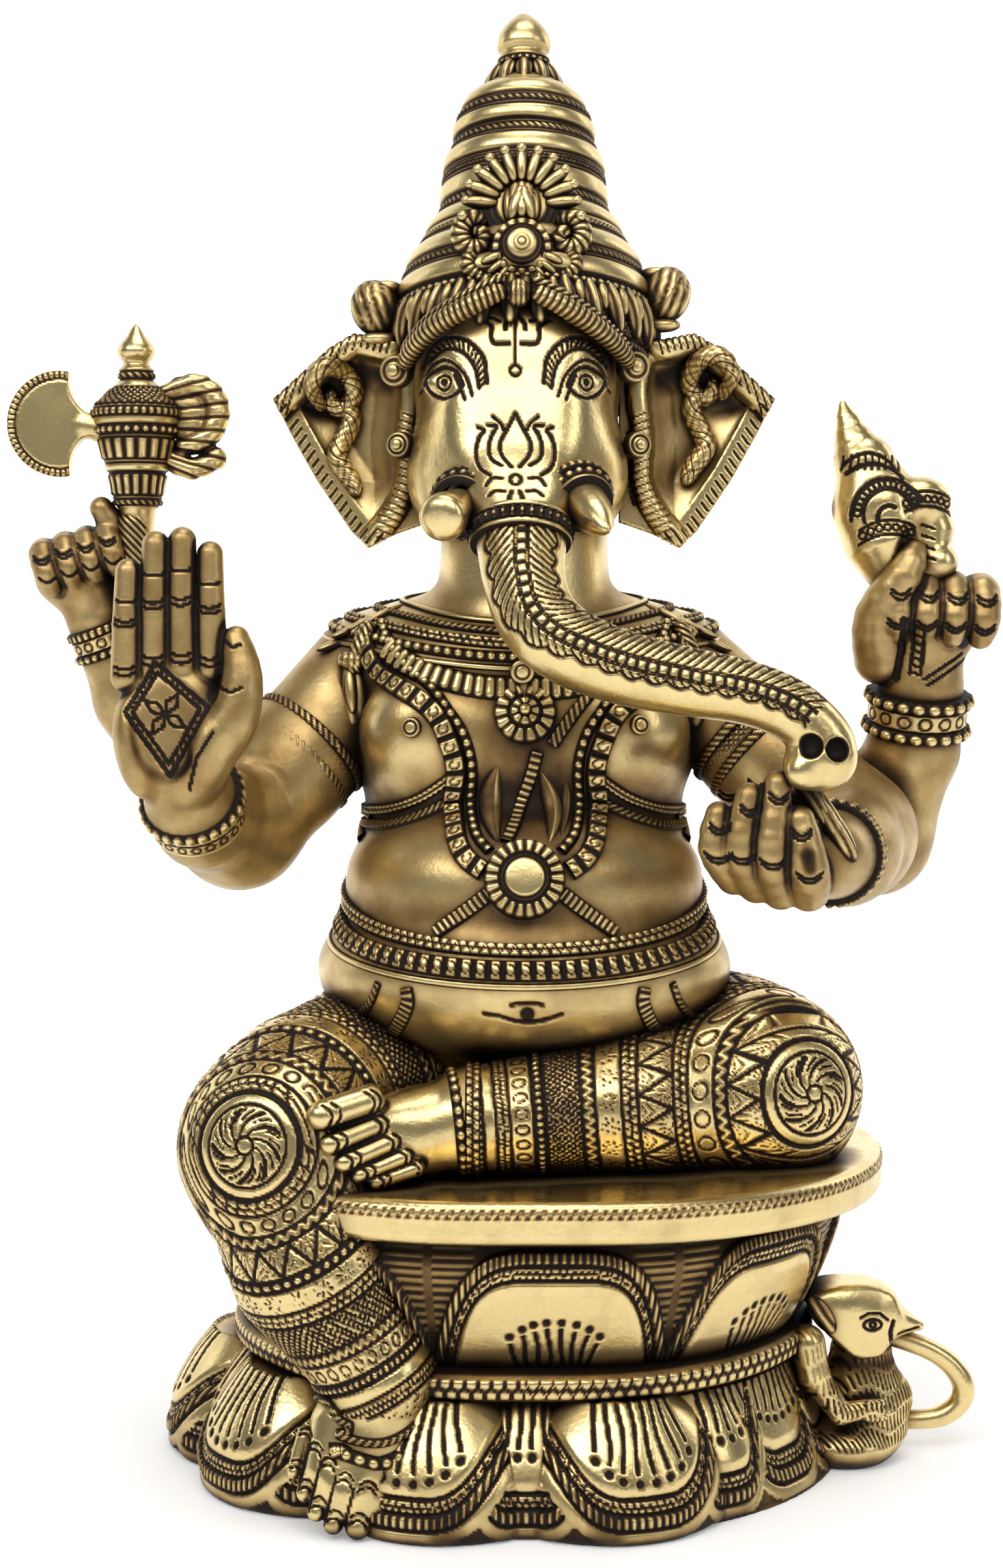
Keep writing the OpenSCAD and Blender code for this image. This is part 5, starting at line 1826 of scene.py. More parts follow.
# The trunk's route from the face to its tip: a point of the figure and a radius.
TRUNK = [
    (-1.6, -36, 152, 11.0), (-1, -42, 146, 9.9), (-0.4, -47, 137, 8.9), (2.6, -51, 128, 8.7),
    (10, -53.5, 121.6, 8.4), (22, -55, 117, 7.9), (36, -56.5, 114, 7.3), (49, -57, 111.6, 6.8),
    (59, -57.6, 107.6, 6.5), (65.4, -58, 101.6, 6.4), (66.6, -58.5, 97.4, 6.8),
]


def head():
    """The head with its cut lines, the trunk, the tusks and their collars."""
    clay = Clay(at(-34, -48, 128), at(32, 36, 218), 0.42)
    clay.add(egg(at(-1.8, -1, 184), (25.2, 34, 27)))
    clay.add(egg(at(-2.0, -8, 191), (21, 25.2, 20)), 5)
    for side in (-1, 1):
        clay.add(egg(at(-1.7 + 12.6 * side, -9, 163), (14.0, 20, 17)), 5)
        clay.add(egg(at(MIDLINE + 16.4 * side, -22.8, 183), (5.4, 4.6, 3.8)), 0.8)
    clay.add(limb(at(-2, -20, 172), 15.5, at(-1.8, -31, 154), 11.5), 8)
    clay.add(limb(at(-1.6, -31, 156), 11.4, at(-1.4, -38, 150), 11.2), 4)
    clay.add(egg(at(-2, -13, 170), (22, 23.5, 23)), 5)
    clay.add(limb(at(-1.8, -16, 168), 18, at(-1.6, -33.5, 154), 12.4), 5)

    def before_face(x, y, z):
        up = z - SEAT_Z
        return y + 31.5 + 0.24 * (185 - up) + 0.03 * np.clip(172 - up, 0, None) ** 2

    clay.cut(Form(at(-34, -48, 140), at(32, 36, 218), before_face), 5)

    def under_chin(x, y, z):
        return z - SEAT_Z - 146.5 - 0.35 * np.clip(y + 30, 0, 9)

    clay.cut(Form(at(-60, -60, 100), at(60, 60, 146.5), under_chin))
    strokes = face_strokes()

    def work(points, facing):
        return engrave(points, facing, strokes, 0.55)

    cast("head_cast", clay, ["head"], chase=work, reach=3.0)

    route = [at(x, y, z) for x, y, z, r in TRUNK]
    sizes = [r for x, y, z, r in TRUNK]
    trunk_clay = Clay(at(-16, -70, 84), at(78, -20, 160), 0.42)
    trunk_clay.add_tube(route, sizes, 1.0, 2.0)
    trunk_clay.add(egg(at(64.6, -58.5, 96), (7.6, 6.4, 6.2)), 2)
    trunk_clay.add(ball(at(60.8, -61, 94), 3.6), 2)

    def above_ring(x, y, z):
        return 0.4 - 0.42 * (y + 40) - 0.9 * (z - SEAT_Z - 148.5)

    trunk_clay.cut(Form(at(-16, -70, 138), at(20, -20, 170), above_ring), 0.4)
    nostrils = (at(62.4, -64.4, 100.0), at(68.2, -64.2, 99.2))
    for place in nostrils:
        trunk_clay.cut(ball(place, 2.5), 0.8)
    path, run = even(curve(np.column_stack([route, sizes]), 1.0), 0.8)
    ways = np.gradient(path[:, :3], axis=0)
    ways /= np.linalg.norm(ways, axis=1)[:, None]

    def work_trunk(points, facing):
        lift = np.zeros(len(points))
        dark = np.zeros(len(points))
        at_once = 20000
        for start in range(0, len(points), at_once):
            chunk = slice(start, start + at_once)
            gap = points[chunk, None, :] - path[None, :, :3]
            near = (gap**2).sum(2).argmin(1)
            way, s = ways[near], run[near]
            gap = points[chunk] - path[near, :3]
            s = s + (gap * way).sum(1)
            up = np.cross(np.broadcast_to((0, -1.0, 0), way.shape), way)
            up = up / np.linalg.norm(up, axis=1)[:, None]
            v = (gap * up).sum(1)
            fore = -gap[:, 1] > 0
            size = path[near, 3]
            level = np.clip((s - 26) / 16, 0, 1)
            t = v - 0.22 * size * level
            chain = np.abs(t) < 1.3
            cell = np.mod(s, 2.4) - 1.2
            box = np.clip(np.minimum((0.95 - np.abs(cell)), (1.1 - np.abs(t))) / 0.35, 0, 1)
            chain_lift = 0.35 * box - 0.35
            chain_dark = 0.9 * (1 - box)
            leaf = np.abs(np.mod((s - 0.9 * np.abs(t)) / 1.9, 1) - 0.5)
            veins = line(leaf, 0.17)
            low_reach = 0.9 * size - 0.42 * size * level
            lobe = np.where(t > 0, 0.74 * size, low_reach - 1.2) + 1.2 * np.abs(np.sin(s * np.pi / 5.2))
            in_leaf = (np.abs(t) >= 1.3) & (np.abs(t) < lobe)
            border = line(np.abs(t) - lobe, 0.4)
            mark = np.clip(veins * in_leaf * (np.abs(t) > 1.9) + border, 0, 1)
            mark = np.maximum(mark, line(np.abs(t) - 1.6, 0.3))
            here = fore & (s > 8) & (s < run[-1] - 9)
            lift[chunk] = np.where(chain, chain_lift, -0.45 * mark) * here
            dark[chunk] = np.where(chain, chain_dark, 0.9 * mark) * here
        for place in nostrils:
            gap = np.linalg.norm(points - place, axis=1)
            dark = np.maximum(dark, np.clip((3.1 - gap) / 0.8, 0, 0.9))
        return lift, dark

    cast("trunk_chased", trunk_clay, ["trunk"], chase=work_trunk)

    worn(
        "trunk_ring_chased", "trunk_ring", at(-1.2, -41.6, 147.4), (0.0, -0.42, -0.9), 11.0,
        [(1.3, 0.7, plain), (3.0, 0.9, blocks_every(2.0)), (1.3, 0.7, plain)],
    )

    stub = Heap()
    turned(
        stub, at(-14, -34, 154.4), (-4.5, -14, -3.4),
        [(0, 4.4), (6, 4.6), (12, 5.2), (15.4, 5.5), (17.4, 5.0), (18.6, 3.4), (19, 1.6), (19.1, 0.1)],
        fine=0.7,
    )
    stub.piece("broken_tusk_cast", ["right_tusk"], POLISHED)
    tusk = Heap()
    turned(
        tusk, at(12.2, -34, 156.2), (5, -14, -7),
        [(0, 5.2), (6, 5.1), (11, 4.5), (15, 3.4), (18, 2.0), (19.6, 0.9), (20, 0.1)], fine=0.7,
    )
    tusk.piece("whole_tusk_cast", ["left_tusk"], POLISHED)
    collars = Heap()
    sockets = (
        (at(-14.4, -35.6, 154.2), (-4.5, -14, -3.4), 6.8),
        (at(12.8, -35.8, 155.4), (5, -14, -7), 6.6),
    )
    for foot, axis, size in sockets:
        bracelet(collars, foot, axis, size, [(1.4, 0.5, plain), (2.2, 0.9, beads), (1.4, 0.5, plain)])
        bracelet(collars, foot - np.array(axis) * 0.16, axis, size + 1.2, [(2.2, 0.6, milled)])
    collars.piece("tusk_collars_chased", ["tusk_collars"])


# ---- ears ------------------------------------------------------------------------

# The outline of an ear and the route of the ridge by the cheek: x from the axis, z from the seat.
EAR = [
    (-20, 172), (-21, 192), (-33.5, 195.8), (-41.2, 197.4), (-47.4, 194), (-61.4, 182),
    (-56.8, 173), (-50.7, 162.2), (-42.2, 149.7), (-37.9, 145.4), (-31, 149.0), (-22, 152), (-20, 162),
]
EAR_ROOT = [(-29, 191), (-27.6, 184), (-28.6, 172), (-28.4, 162), (-32, 154), (-37.4, 147.6)]


def outline_gap(outline, u, v):
    """How far inside an outline each point lies, and outside as a negative number."""
    best = np.full(np.broadcast(u, v).shape, 1e9)
    inside = np.zeros(best.shape, bool)
    for (ax, ay), (bx, by) in zip(outline, np.roll(outline, -1, axis=0)):
        dx, dy = bx - ax, by - ay
        t = np.clip(((u - ax) * dx + (v - ay) * dy) / (dx * dx + dy * dy + 1e-9), 0, 1)
        best = np.minimum(best, np.hypot(u - ax - t * dx, v - ay - t * dy))
        crosses = (ay > v) != (by > v)
        inside ^= crosses & (u < (bx - ax) * (v - ay) / (by - ay + 1e-9) + ax)
    return np.where(inside, best, -best)


def ear(side):
    """An ear: a rolled upper rim, a ridge by the cheek, a deep cup and a flat ticked margin."""
    outline = np.array(EAR)
    upper = flat_curve(EAR[2:6], 1.0)
    root = flat_curve(EAR_ROOT, 1.0)
    hinge = 26.0

    def away(path, u, v):
        best = np.full(np.broadcast(u, v).shape, 1e9)
        for a, b in zip(path[:-1], path[1:]):
            d = b - a
            t = np.clip(((u - a[0]) * d[0] + (v - a[1]) * d[1]) / (d @ d + 1e-9), 0, 1)
            best = np.minimum(best, np.hypot(u - a[0] - t * d[0], v - a[1] - t * d[1]))
        return best

    def height(u, v):
        gap = outline_gap(outline, u, v)
        roll = 4.0 * np.sqrt(np.clip(1 - ((away(upper, u, v) - 2.4) / 3.4) ** 2, 0, 1))
        rib = 3.0 * np.sqrt(np.clip(1 - (away(root, u, v) / 3.0) ** 2, 0, 1))
        inner = np.minimum(gap - 5.0, away(root, u, v) - 2.0)
        cup = -4.6 * np.clip(inner / 7.0, 0, 1) ** 0.6 * np.clip((v - 150) / 12, 0, 1)
        return gap, np.maximum(roll, rib) + cup

    def distance(x, y, z):
        u = -np.abs(x - AXIS_X) + 0 * z
        v = z - SEAT_Z + 0 * x
        gap, rise = height(u, v)
        sweep = -4.5 + 0.22 * (-u - hinge)
        front_face = sweep - rise
        back_face = sweep + np.maximum(3.2, 2.4 - rise)
        slab = np.maximum(front_face - y, y - back_face)
        return np.maximum(slab * 0.85, -gap * 0.9)

    low = at(-63 if side < 0 else 24, -14, 143)
    high = at(-24 if side < 0 else 63, 12, 200)
    clay = Clay(low - 1, high + 1, 0.42)
    clay.add(Form(low, high, distance))

    def work(points, facing):
        u = -np.abs(points[:, 0] - AXIS_X)
        v = points[:, 2] - SEAT_Z
        gap, rise = height(u, v)
        fore = facing[:, 1] < 0.1
        lower = (v < 180 + (u + 61) * 0.2) & (u < -34)
        tick = line(np.abs(np.mod((v * 0.62 - u * 0.78) / 2.0, 1) - 0.5), 0.2)
        tick = tick * (gap > 0.4) * (gap < 3.2) * lower
        on_rim = (rise > 1.4) & (v > 178) & (u < -32)
        rim_tick = line(np.abs(np.mod((u - 0.3 * v) / 1.7, 1) - 0.5), 0.16) * on_rim * (gap < 3.6)
        on_rib = (rise > 1.0) & (v < 178)
        rib_tick = line(np.abs(np.mod((v + 0.4 * u) / 1.9, 1) - 0.5), 0.15) * on_rib * (u > -36) * (u < -25)
        mark = np.clip(tick + rim_tick + 0.7 * rib_tick, 0, 1) * fore
        # Painted shadow: the cup is darkened below the upper roll and beside the cheek ridge, where shade
        # would fall.
        near_roll = np.clip(1 - (away(upper, u, v) - 5.0) / 9.0, 0, 1)
        near_rib = np.clip(1 - (away(root, u, v) - 2.6) / 6.0, 0, 1)
        low_cup = np.clip((-rise - 0.8) / 2.0, 0, 1) * fore
        shade = np.clip(0.95 * near_roll + 0.55 * near_rib, 0, 0.9) * low_cup
        return -0.4 * mark, np.maximum(0.9 * mark, shade)

    name = "right" if side < 0 else "left"
    cast(f"{name}_ear_cast", clay, [f"{name}_ear"], chase=work)
    return clay


def ears():
    """Both ears, the serpents in them, the knobs above and the studs beside the cheeks."""
    scroll, knobs = Heap(), Heap()
    coil = [
        (49, 179.6), (51.4, 184.6), (48.4, 189), (43.6, 188.2), (41.6, 183.4), (44.6, 179.6),
        (47.6, 182), (46.4, 184.6),
    ]
    coil_sizes = [1.5, 2.0, 2.3, 2.4, 2.4, 2.3, 2.0, 1.7]
    tail = [(43.4, 181), (42.2, 176.6), (44.6, 171.4), (45.6, 167.4), (42.4, 162.6), (40.2, 158.4)]
    tail_sizes = [2.2, 2.4, 2.5, 2.5, 2.3, 1.4]

    def scales(u, v, half):
        a = np.abs(np.mod((u + v) / 2.4, 1) - 0.5)
        b = np.abs(np.mod((u - v) / 2.4, 1) - 0.5)
        mark = np.maximum(line(a, 0.12), line(b, 0.12))
        return 0.1 - 0.3 * mark, 0.6 * mark

    for side in (-1, 1):
        clay = ear(side)
        shift = 0.0 if side < 0 else -1.2
        for path, sizes in ((coil, coil_sizes), (tail, tail_sizes)):
            x = AXIS_X + side * (np.array([p[0] for p in path]) + shift)
            z = SEAT_Z + np.array([p[1] for p in path]) + (0 if side < 0 else 2.6)
            points = clay.land_front(x, z, -14) - (0, 2.0, 0)
            tube(scroll, points, sizes, scales)
        place = at(-36, -4, 203.3) if side < 0 else at(34.3, -4, 206.5)
        seed(knobs, place, (0.2 * side, -1, 0.1), (0.35 * side, 0.2, 1), (7.0, 6.0, 5.4), veins=5)
        seed(knobs, place + (2.5 * -side, 1.5, 4.6), (0, -1, 0.2), (1, 0, 0), (4.2, 2.2, 3.2))
        seed(knobs, place + (-1.2 * side, -1, -7.4), (0, -1, 0), (1, 0, 0), (4.6, 1.8, 2.6))
    scroll.piece("ear_serpents_chased", ["ear_scrolls"])
    knobs.piece("ear_knobs_chased", ["ear_rosettes"])
    studs = Heap()
    for x, z, r in ((-30.4, 187, 4.0), (25.8, 188, 4.0), (-29.6, 169.6, 3.3), (26.8, 169.6, 3.3)):
        out = (0.35 if x > 0 else -0.35, -1, 0)
        p = at(x, -14.5, z)
        disc(studs, p, out, r, 1.6, domed((0.62,), 1.0))
        disc(studs, p + np.array(out) * 2.0, out, r * 0.4, 0.8, domed((), 0.6))
    studs.piece("temple_studs_chased", ["temple_studs"])


# ---- crown -----------------------------------------------------------------------

LEAN = math.radians(10)
CROWN_AXIS = np.array([0, math.sin(LEAN), math.cos(LEAN)])
CROWN_FOOT = at(0, 0, 188)
CROWN_LEAVES = 30


def on_crown(angle, height, reach):
    """A point of the crown: angle from its front, height up its axis, reach out from it."""
    fore = np.array([0, -math.cos(LEAN), math.sin(LEAN)])
    side = np.array([1.0, 0, 0])
    out = fore * math.cos(angle) + side * math.sin(angle)
    return CROWN_FOOT + CROWN_AXIS * height + out * reach, out


def crown():
    """The tall crown, its plaque, the brow band and the wheel behind it."""
    cap = Heap()
    turned(
        cap, CROWN_FOOT, CROWN_AXIS,
        [(0, 26), (0.5, 30), (3, 30.6), (8, 31.0), (13, 31.2), (18, 31.0), (22, 30.0), (26, 28.4), (30, 26.2),
         (33, 24.6)],
        [(1, 3.4, rope), (3.4, 13.2, hatch), (13.4, 15.8, beads), (16.2, 21.2, lip), (21.6, 23.8, rope),
         (24.2, 29.8, lip), (30.2, 32.8, scallops)],
    )
    # The lower edge is drawn in at the front, so that it stays behind the brow.
    m = basis(CROWN_AXIS, (0, 1, 0))
    local = (cap.points[0] - CROWN_FOOT) @ m
    turn = np.degrees(np.arctan2(np.abs(local[:, 0]), -local[:, 1]))
    tucked = local[:, 2] < 10.6 * (1 - turn / 62)
    reach = np.hypot(local[:, 0], local[:, 1])
    shrink = np.where(tucked, np.minimum(1, 22 / np.maximum(reach, 1)), 1)
    local[:, :2] *= shrink[:, None]
    cap.points[0] = CROWN_FOOT + local @ m.T
    for k in range(CROWN_LEAVES):
        angle = 2 * math.pi * (k + 0.5) / CROWN_LEAVES
        p, out = on_crown(angle, 12.6, 30.4)
        lean = np.cross(CROWN_AXIS, out) * math.sin(angle) * 0.5
        drop = -CROWN_AXIS + 0.12 * out + lean
        seed(cap, p - CROWN_AXIS * 3.4 + out * 0.9, out, drop, (6.2, 2.3, 2.2), veins=2)
        p, out = on_crown(angle + math.pi / CROWN_LEAVES, 12.6, 30.8)
        seed(cap, p - CROWN_AXIS * 1.2, out, drop, (3.4, 1.5, 1.7))
    cap.piece("crown_cap_chased", ["crown_cap"])

    tiers = Heap()
    turned(
        tiers, CROWN_FOOT, CROWN_AXIS,
        [(31, 25.0), (33, 24.6), (36.2, 22.8), (39.6, 20.9), (43, 20.2), (45.6, 20.2), (49, 19.9),
         (51.6, 19.4), (55, 18.4), (57.6, 16.9), (58.9, 17.1), (62.7, 16.8), (67.1, 14.8),
         (70.2, 12.0), (72.4, 9.4), (74.4, 7.2), (76, 6.6)],
        [(33.2, 38.2, lip), (38.6, 40.8, rope), (41.2, 46.6, lip), (47, 49.2, scallops), (49.6, 54.8, lip),
         (55.2, 57.4, rope), (57.8, 62.6, lip), (63, 65, rope), (65.4, 71.2, lip)],
    )
    for k in range(12):
        p, out = on_crown(2 * math.pi * k / 12, 74.0, 8.2)
        seed(tiers, p, out + 0.5 * CROWN_AXIS, out * 0.7 - CROWN_AXIS, (4.0, 2.1, 1.4), veins=2)
    tiers.piece("crown_tiers_chased", ["crown_tiers"])

    finial = Heap()
    turned(
        finial, CROWN_FOOT, CROWN_AXIS,
        [(72, 6.6), (75, 6.6), (76.4, 6.2), (77.6, 6.6), (79.2, 6.6), (80.2, 5.6), (81.2, 5.7), (82.4, 6.6),
         (84.6, 6.5), (86.6, 5.7), (88.4, 4.4), (89.8, 3.0), (91.0, 1.6), (91.4, 0.1)],
        [(72.4, 75.4, rope), (76.6, 79.0, beads)],
    )
    finial.piece("crown_finial_chased", ["crown_finial"])

    plaque = Heap()
    face = np.array([0, -1.0, 0.16])
    face /= np.linalg.norm(face)
    heart = at(-0.8, -21.5, 225)
    fan = 11
    for k in range(fan):
        angle = (k - (fan - 1) / 2) * 0.30
        way = np.array([math.sin(angle), 0, math.cos(angle)])
        seed(plaque, heart + way * 9.6 - face * 0.4, face, way, (4.4, 1.7, 1.8), veins=1)
        tip = heart + way * 13.0
        plaque.bead(tip, 1.25, face)
    disc(plaque, heart - face * 1.6, face, 9.4, 1.2, domed((0.86, 0.7), 1.2))
    seed(plaque, heart + face * 1.0 - (0, 0, 0.6), face, (0, 0, 1), (6.2, 4.6, 2.6), veins=5)
    for side in (-1, 1):
        seed(plaque, heart + face * 2.6 + (1.3 * side, 0, -0.6), face, (-0.28 * side, 0, 1), (4.4, 1.5, 1.8))
    seed(plaque, heart + face * 3.4 - (0, 0, 1.6), face, (0, 0, 1), (2.8, 1.3, 1.6))
    for side in (-1, 1):
        scroll = [
            (8.2, 0.6, -4.6), (12.0, -0.8, -3.4), (14.2, -1.4, -7.0), (12.2, -2.0, -10.4),
            (9.0, -2.4, -9.4), (9.4, -2.8, -6.8), (11.4, -3.0, -7.4),
        ]
        points = [heart + np.array([side * x, y, z]) for x, y, z in scroll]
        tube(plaque, points, [1.6, 2.2, 2.4, 2.3, 2.0, 1.6, 1.2], milling(1.6, 0.2, 0.35))
        tail = [(10.6, -2.4, -11.4), (12.6, -3.0, -14.0), (11.0, -3.6, -16.4), (7.6, -4.2, -17.6)]
        points = [heart + np.array([side * x, y, z]) for x, y, z in tail]
        tube(plaque, points, [1.9, 1.9, 1.7, 1.0], milling(1.4, 0.1, 0.3))
        plaque.bead(heart + np.array([side * 13.8, -3.2, -3.2]), 1.3, face)
    boss = at(-0.8, -27.5, 214.6)
    disc(plaque, boss - face * 2.5, face, 7.2, 2.4, fluted(16, 0.66, 1.2))
    disc(plaque, boss, face, 4.7, 1.6, domed((0.8,), 1.4))
    disc(plaque, boss + face * 2.4, face, 2.1, 0.8, domed((0.5,), 0.7))
    for k in range(9):
        angle = math.pi * (0.12 + 0.76 * k / 8)
        way = np.array([math.cos(angle), 0, -math.sin(angle)])
        seed(plaque, boss + way * 7.4 - face * 0.8, face, way, (2.8, 1.3, 1.5), veins=1)
    seed(plaque, at(-1.6, -31.6, 203.2), face, (0, 0, 1), (3.4, 3.1, 2.6), veins=5)
    plaque.piece("crown_plaque_chased", ["crown_plaque"])

    brow = Heap()
    right = [
        (-28.6, -17, 188.0), (-26.6, -21.6, 191), (-21.2, -28, 195.8), (-13, -32.6, 200),
        (-4.6, -34, 203.8),
    ]
    left = [
        (24.8, -17, 188.4), (22.4, -21.6, 191), (17.2, -27.8, 195), (9.5, -32.4, 199.6),
        (1.6, -34, 203.4),
    ]
    for route in (right, left):
        points = [at(*p) for p in route]
        tube(brow, points, [1.9, 2.2, 2.4, 2.4, 2.0], milling(1.5, 0.1, 0.3))
        tube(brow, [p + np.array([0, 0.6, 2.9]) for p in points], [1.0] * 5, rope)
    brow.piece("brow_band_chased", ["brow_band"])

    wheel = Heap()
    hub = CROWN_FOOT + CROWN_AXIS * 14
    back = np.array([0, math.cos(LEAN), -math.sin(LEAN)])
    turned(wheel, hub, back, [(22, 5.6), (30, 5.6), (33, 5.6)])
    disc(wheel, hub + back * 35, back, 26, 1.0, fluted(24, 0.55, 1.2), fine=0.8)
    disc(wheel, hub + back * 33.4, -back, 26, 1.0, fluted(24, 0.55, 1.2), fine=0.8)
    disc(wheel, hub + back * 36, back, 8, 1.6, fluted(12, 0.4, 1.0))
    m = basis(back)
    for k in range(12):
        a = math.radians(30 * k)
        p = hub + back * 34.2 + m @ np.array([26 * math.cos(a), 26 * math.sin(a), 0])
        seed(wheel, p, back, m @ np.array([math.cos(a), math.sin(a), 0]), (3.3, 3.0, 2.2), veins=3)
    wheel.piece("crown_wheel_chased", ["crown_wheel"], POLISHED)


# ---- axe and conch ---------------------------------------------------------------


def axe():
    """An axe: a turned, worked shaft with a crescent blade and a noose."""
    heap = Heap()
    top = at(-95.6, 8, 0)
    turned(
        heap, top, (0.0, 0, 1),
        [(140, 3.6), (150, 4.0), (155, 4.4), (157, 6.0), (162, 6.8), (168, 8.6), (174, 10.0),
         (177, 10.6), (179, 11.2), (181, 10.6), (182.4, 8.8), (184, 7.4), (186, 5.4), (187.2, 4.4),
         (189.6, 4.4), (190.6, 3.4), (191.6, 3.2), (193, 4.4), (194.4, 4.7), (196, 4.0), (198, 2.4),
         (200.0, 1.1), (201.0, 0.1)],
        [(156, 158, rope), (158.4, 164, milling(2.4, 0, 0.4)),
         (164.4, 166.6, plain), (167, 173, milling(3.0, 0, 0.4)),
         (173.4, 176.2, beads), (177.6, 180.2, milled), (180.8, 185.4, hatch), (187, 189.4, rope)],
    )
    blade = Clay(at(-130, -2, 160), at(-70, 18, 194), 0.42)

    def crescent(x, y, z):
        u, v = x - AXIS_X + 114.4, z - SEAT_Z - 176.4
        disc_gap = np.hypot(u, v) - 13.0
        bite = 9.4 - np.minimum(np.hypot(u - 11.6, v - 10.6), np.hypot(u - 11.6, v + 10.6))
        chop = u - 10.5
        flat = np.maximum(np.maximum(disc_gap, bite), chop)
        return np.maximum(flat, np.abs(y - 8) - 2.3)

    blade.add(Form(at(-128, 5, 162), at(-103, 11, 190), crescent))
    blade.add(limb(at(-108, 8, 176), 2.8, at(-102, 8, 175), 4.2), 1.5)
    noose = [(-88, 184), (-82, 186.4), (-77, 184), (-75.6, 178.6), (-78.4, 173), (-84, 171)]
    blade.add_tube([at(x, 8, z) for x, z in noose], [2.6, 2.6, 2.8, 3.0, 2.8, 2.4], 0.8)
    blade.add(egg(at(-84, 8, 179), (7.2, 1.8, 6.4)), 1)
    blade.add_tube([at(-88, 8, 168), at(-82, 8, 165.4), at(-76.4, 8, 167.6)], [2.6, 2.6, 2.4], 0.8)
    blade.add(ball(at(-76.2, 8, 168), 2.9), 0.6)

    def work(points, facing):
        u = points[:, 0] - AXIS_X + 114.4
        v = points[:, 2] - SEAT_Z - 176.4
        r = np.hypot(u, v)
        a = np.arctan2(v, u)
        on_blade = (u < 8) & (np.abs(facing[:, 1]) > 0.5)
        tick = line(np.abs(np.mod(a * 13 / 1.5, 1) - 0.5), 0.2) * (r > 11.2)
        mark = np.clip(tick + line(r - 11.0, 0.35), 0, 1) * on_blade
        loop_tick = line(np.abs(np.mod(a * 12, 1) - 0.5), 0.2) * (points[:, 0] > AXIS_X - 90)
        mark = np.maximum(mark, 0.8 * loop_tick)
        return -0.4 * mark, 0.85 * mark

    cast("axe_blade_chased", blade, ["axe"], chase=work)
    tube(heap, [at(-96.4, 6, 120), at(-96.6, 7, 140), at(-96.2, 8, 156)], [3.6, 4.0, 4.4], rope)
    heap.piece("axe_shaft_chased", ["axe"], POLISHED)


def conch():
    """A conch with a stepped spire."""
    clay = Clay(at(74, -24, 120), at(114, 20, 186), 0.42)
    clay.add(limb(at(93.5, -2, 134), 5.6, at(88, -2, 147), 10.0), 2)
    clay.add(egg(at(86, -2, 155.5), (11.0, 9.4, 10.4), (0, -14, 0)), 3)
    clay.add(egg(at(96.4, -3, 156.5), (7.4, 7.0, 6.4)), 1.6)
    clay.add(limb(at(99.4, -3, 150), 5.2, at(98, -4, 140), 4.4), 2)
    clay.add(ball(at(100.4, -5, 142), 4.8), 1)
    clay.add(limb(at(84, -1, 163), 8.2, at(83, -1, 166), 7.4), 2)
    clay.add(limb(at(81, -1, 169), 5.6, at(80.6, -1, 171), 5.0), 0.8)
    clay.add(limb(at(79.4, -1, 174), 3.8, at(79.2, -1, 175.4), 3.2), 0.6)
    clay.add(limb(at(78.2, -1, 177.8), 2.4, at(77.6, -1, 180.4), 1.1), 0.4)
    clay.cut(egg(at(92.4, -12.5, 146), (2.6, 5, 6.6), (0, 16, 0)), 1.5)

    def arc(x, z, r, start, end):
        t = np.radians(np.linspace(start, end, 24))
        return np.column_stack([AXIS_X + x + r * np.cos(t), SEAT_Z + z + r * np.sin(t)])

    def work(points, facing):
        strokes = [
            (arc(87.4, 153.4, 8.8, 20, 190), 0.5), (arc(87.4, 153.4, 6.0, 10, 200), 0.45),
            (arc(87.6, 152.6, 2.8, 60, 200), 0.7),
            (arc(88.0, 140, 12, 60, 128), 0.4), (arc(88.0, 136.6, 12, 60, 128), 0.4),
            (arc(97.0, 146.5, 12.5, 60, 115), 0.45), (arc(97.0, 142.8, 12.5, 60, 115), 0.45),
            (arc(84, 156, 9.6, 40, 130), 0.6), (arc(83, 160.6, 7.6, 30, 140), 0.5),
        ]
        for k in range(15):
            t = math.radians(24 + 11 * k)
            x, z = 87.4 + 7.4 * math.cos(t), 153.4 + 7.4 * math.sin(t)
            strokes.append((arc(x, z, 0.85, 0, 360), 0.3))
        for k in range(7):
            t = math.radians(64 + 10 * k)
            x, z = 88.0 + 12 * math.cos(t), 138.3 + 12 * math.sin(t)
            strokes.append((arc(x, z, 0.8, 0, 360), 0.3))
            t = math.radians(66 + 8 * k)
            x, z = 97.0 + 12.5 * math.cos(t), 144.6 + 12.5 * math.sin(t)
            strokes.append((arc(x, z, 0.8, 0, 360), 0.3))
        for k in range(9):
            x = 76.8 + 1.7 * k
            strokes.append((np.array([(x, 164.2), (x + 0.4, 167.6)]) + (AXIS_X, SEAT_Z), 0.3))
        for z in (135.5, 138, 140.5, 143):
            for fold in ([(89, z), (92.6, z - 1.6)], [(96, z + 8), (99, z + 7)]):
                strokes.append((np.array(fold) + (AXIS_X, SEAT_Z), 0.32))
        return engrave(points, facing, strokes, 0.5)

    cast("conch_chased", clay, ["conch"], chase=work)


# ---- floor, lights and camera ----------------------------------------------------


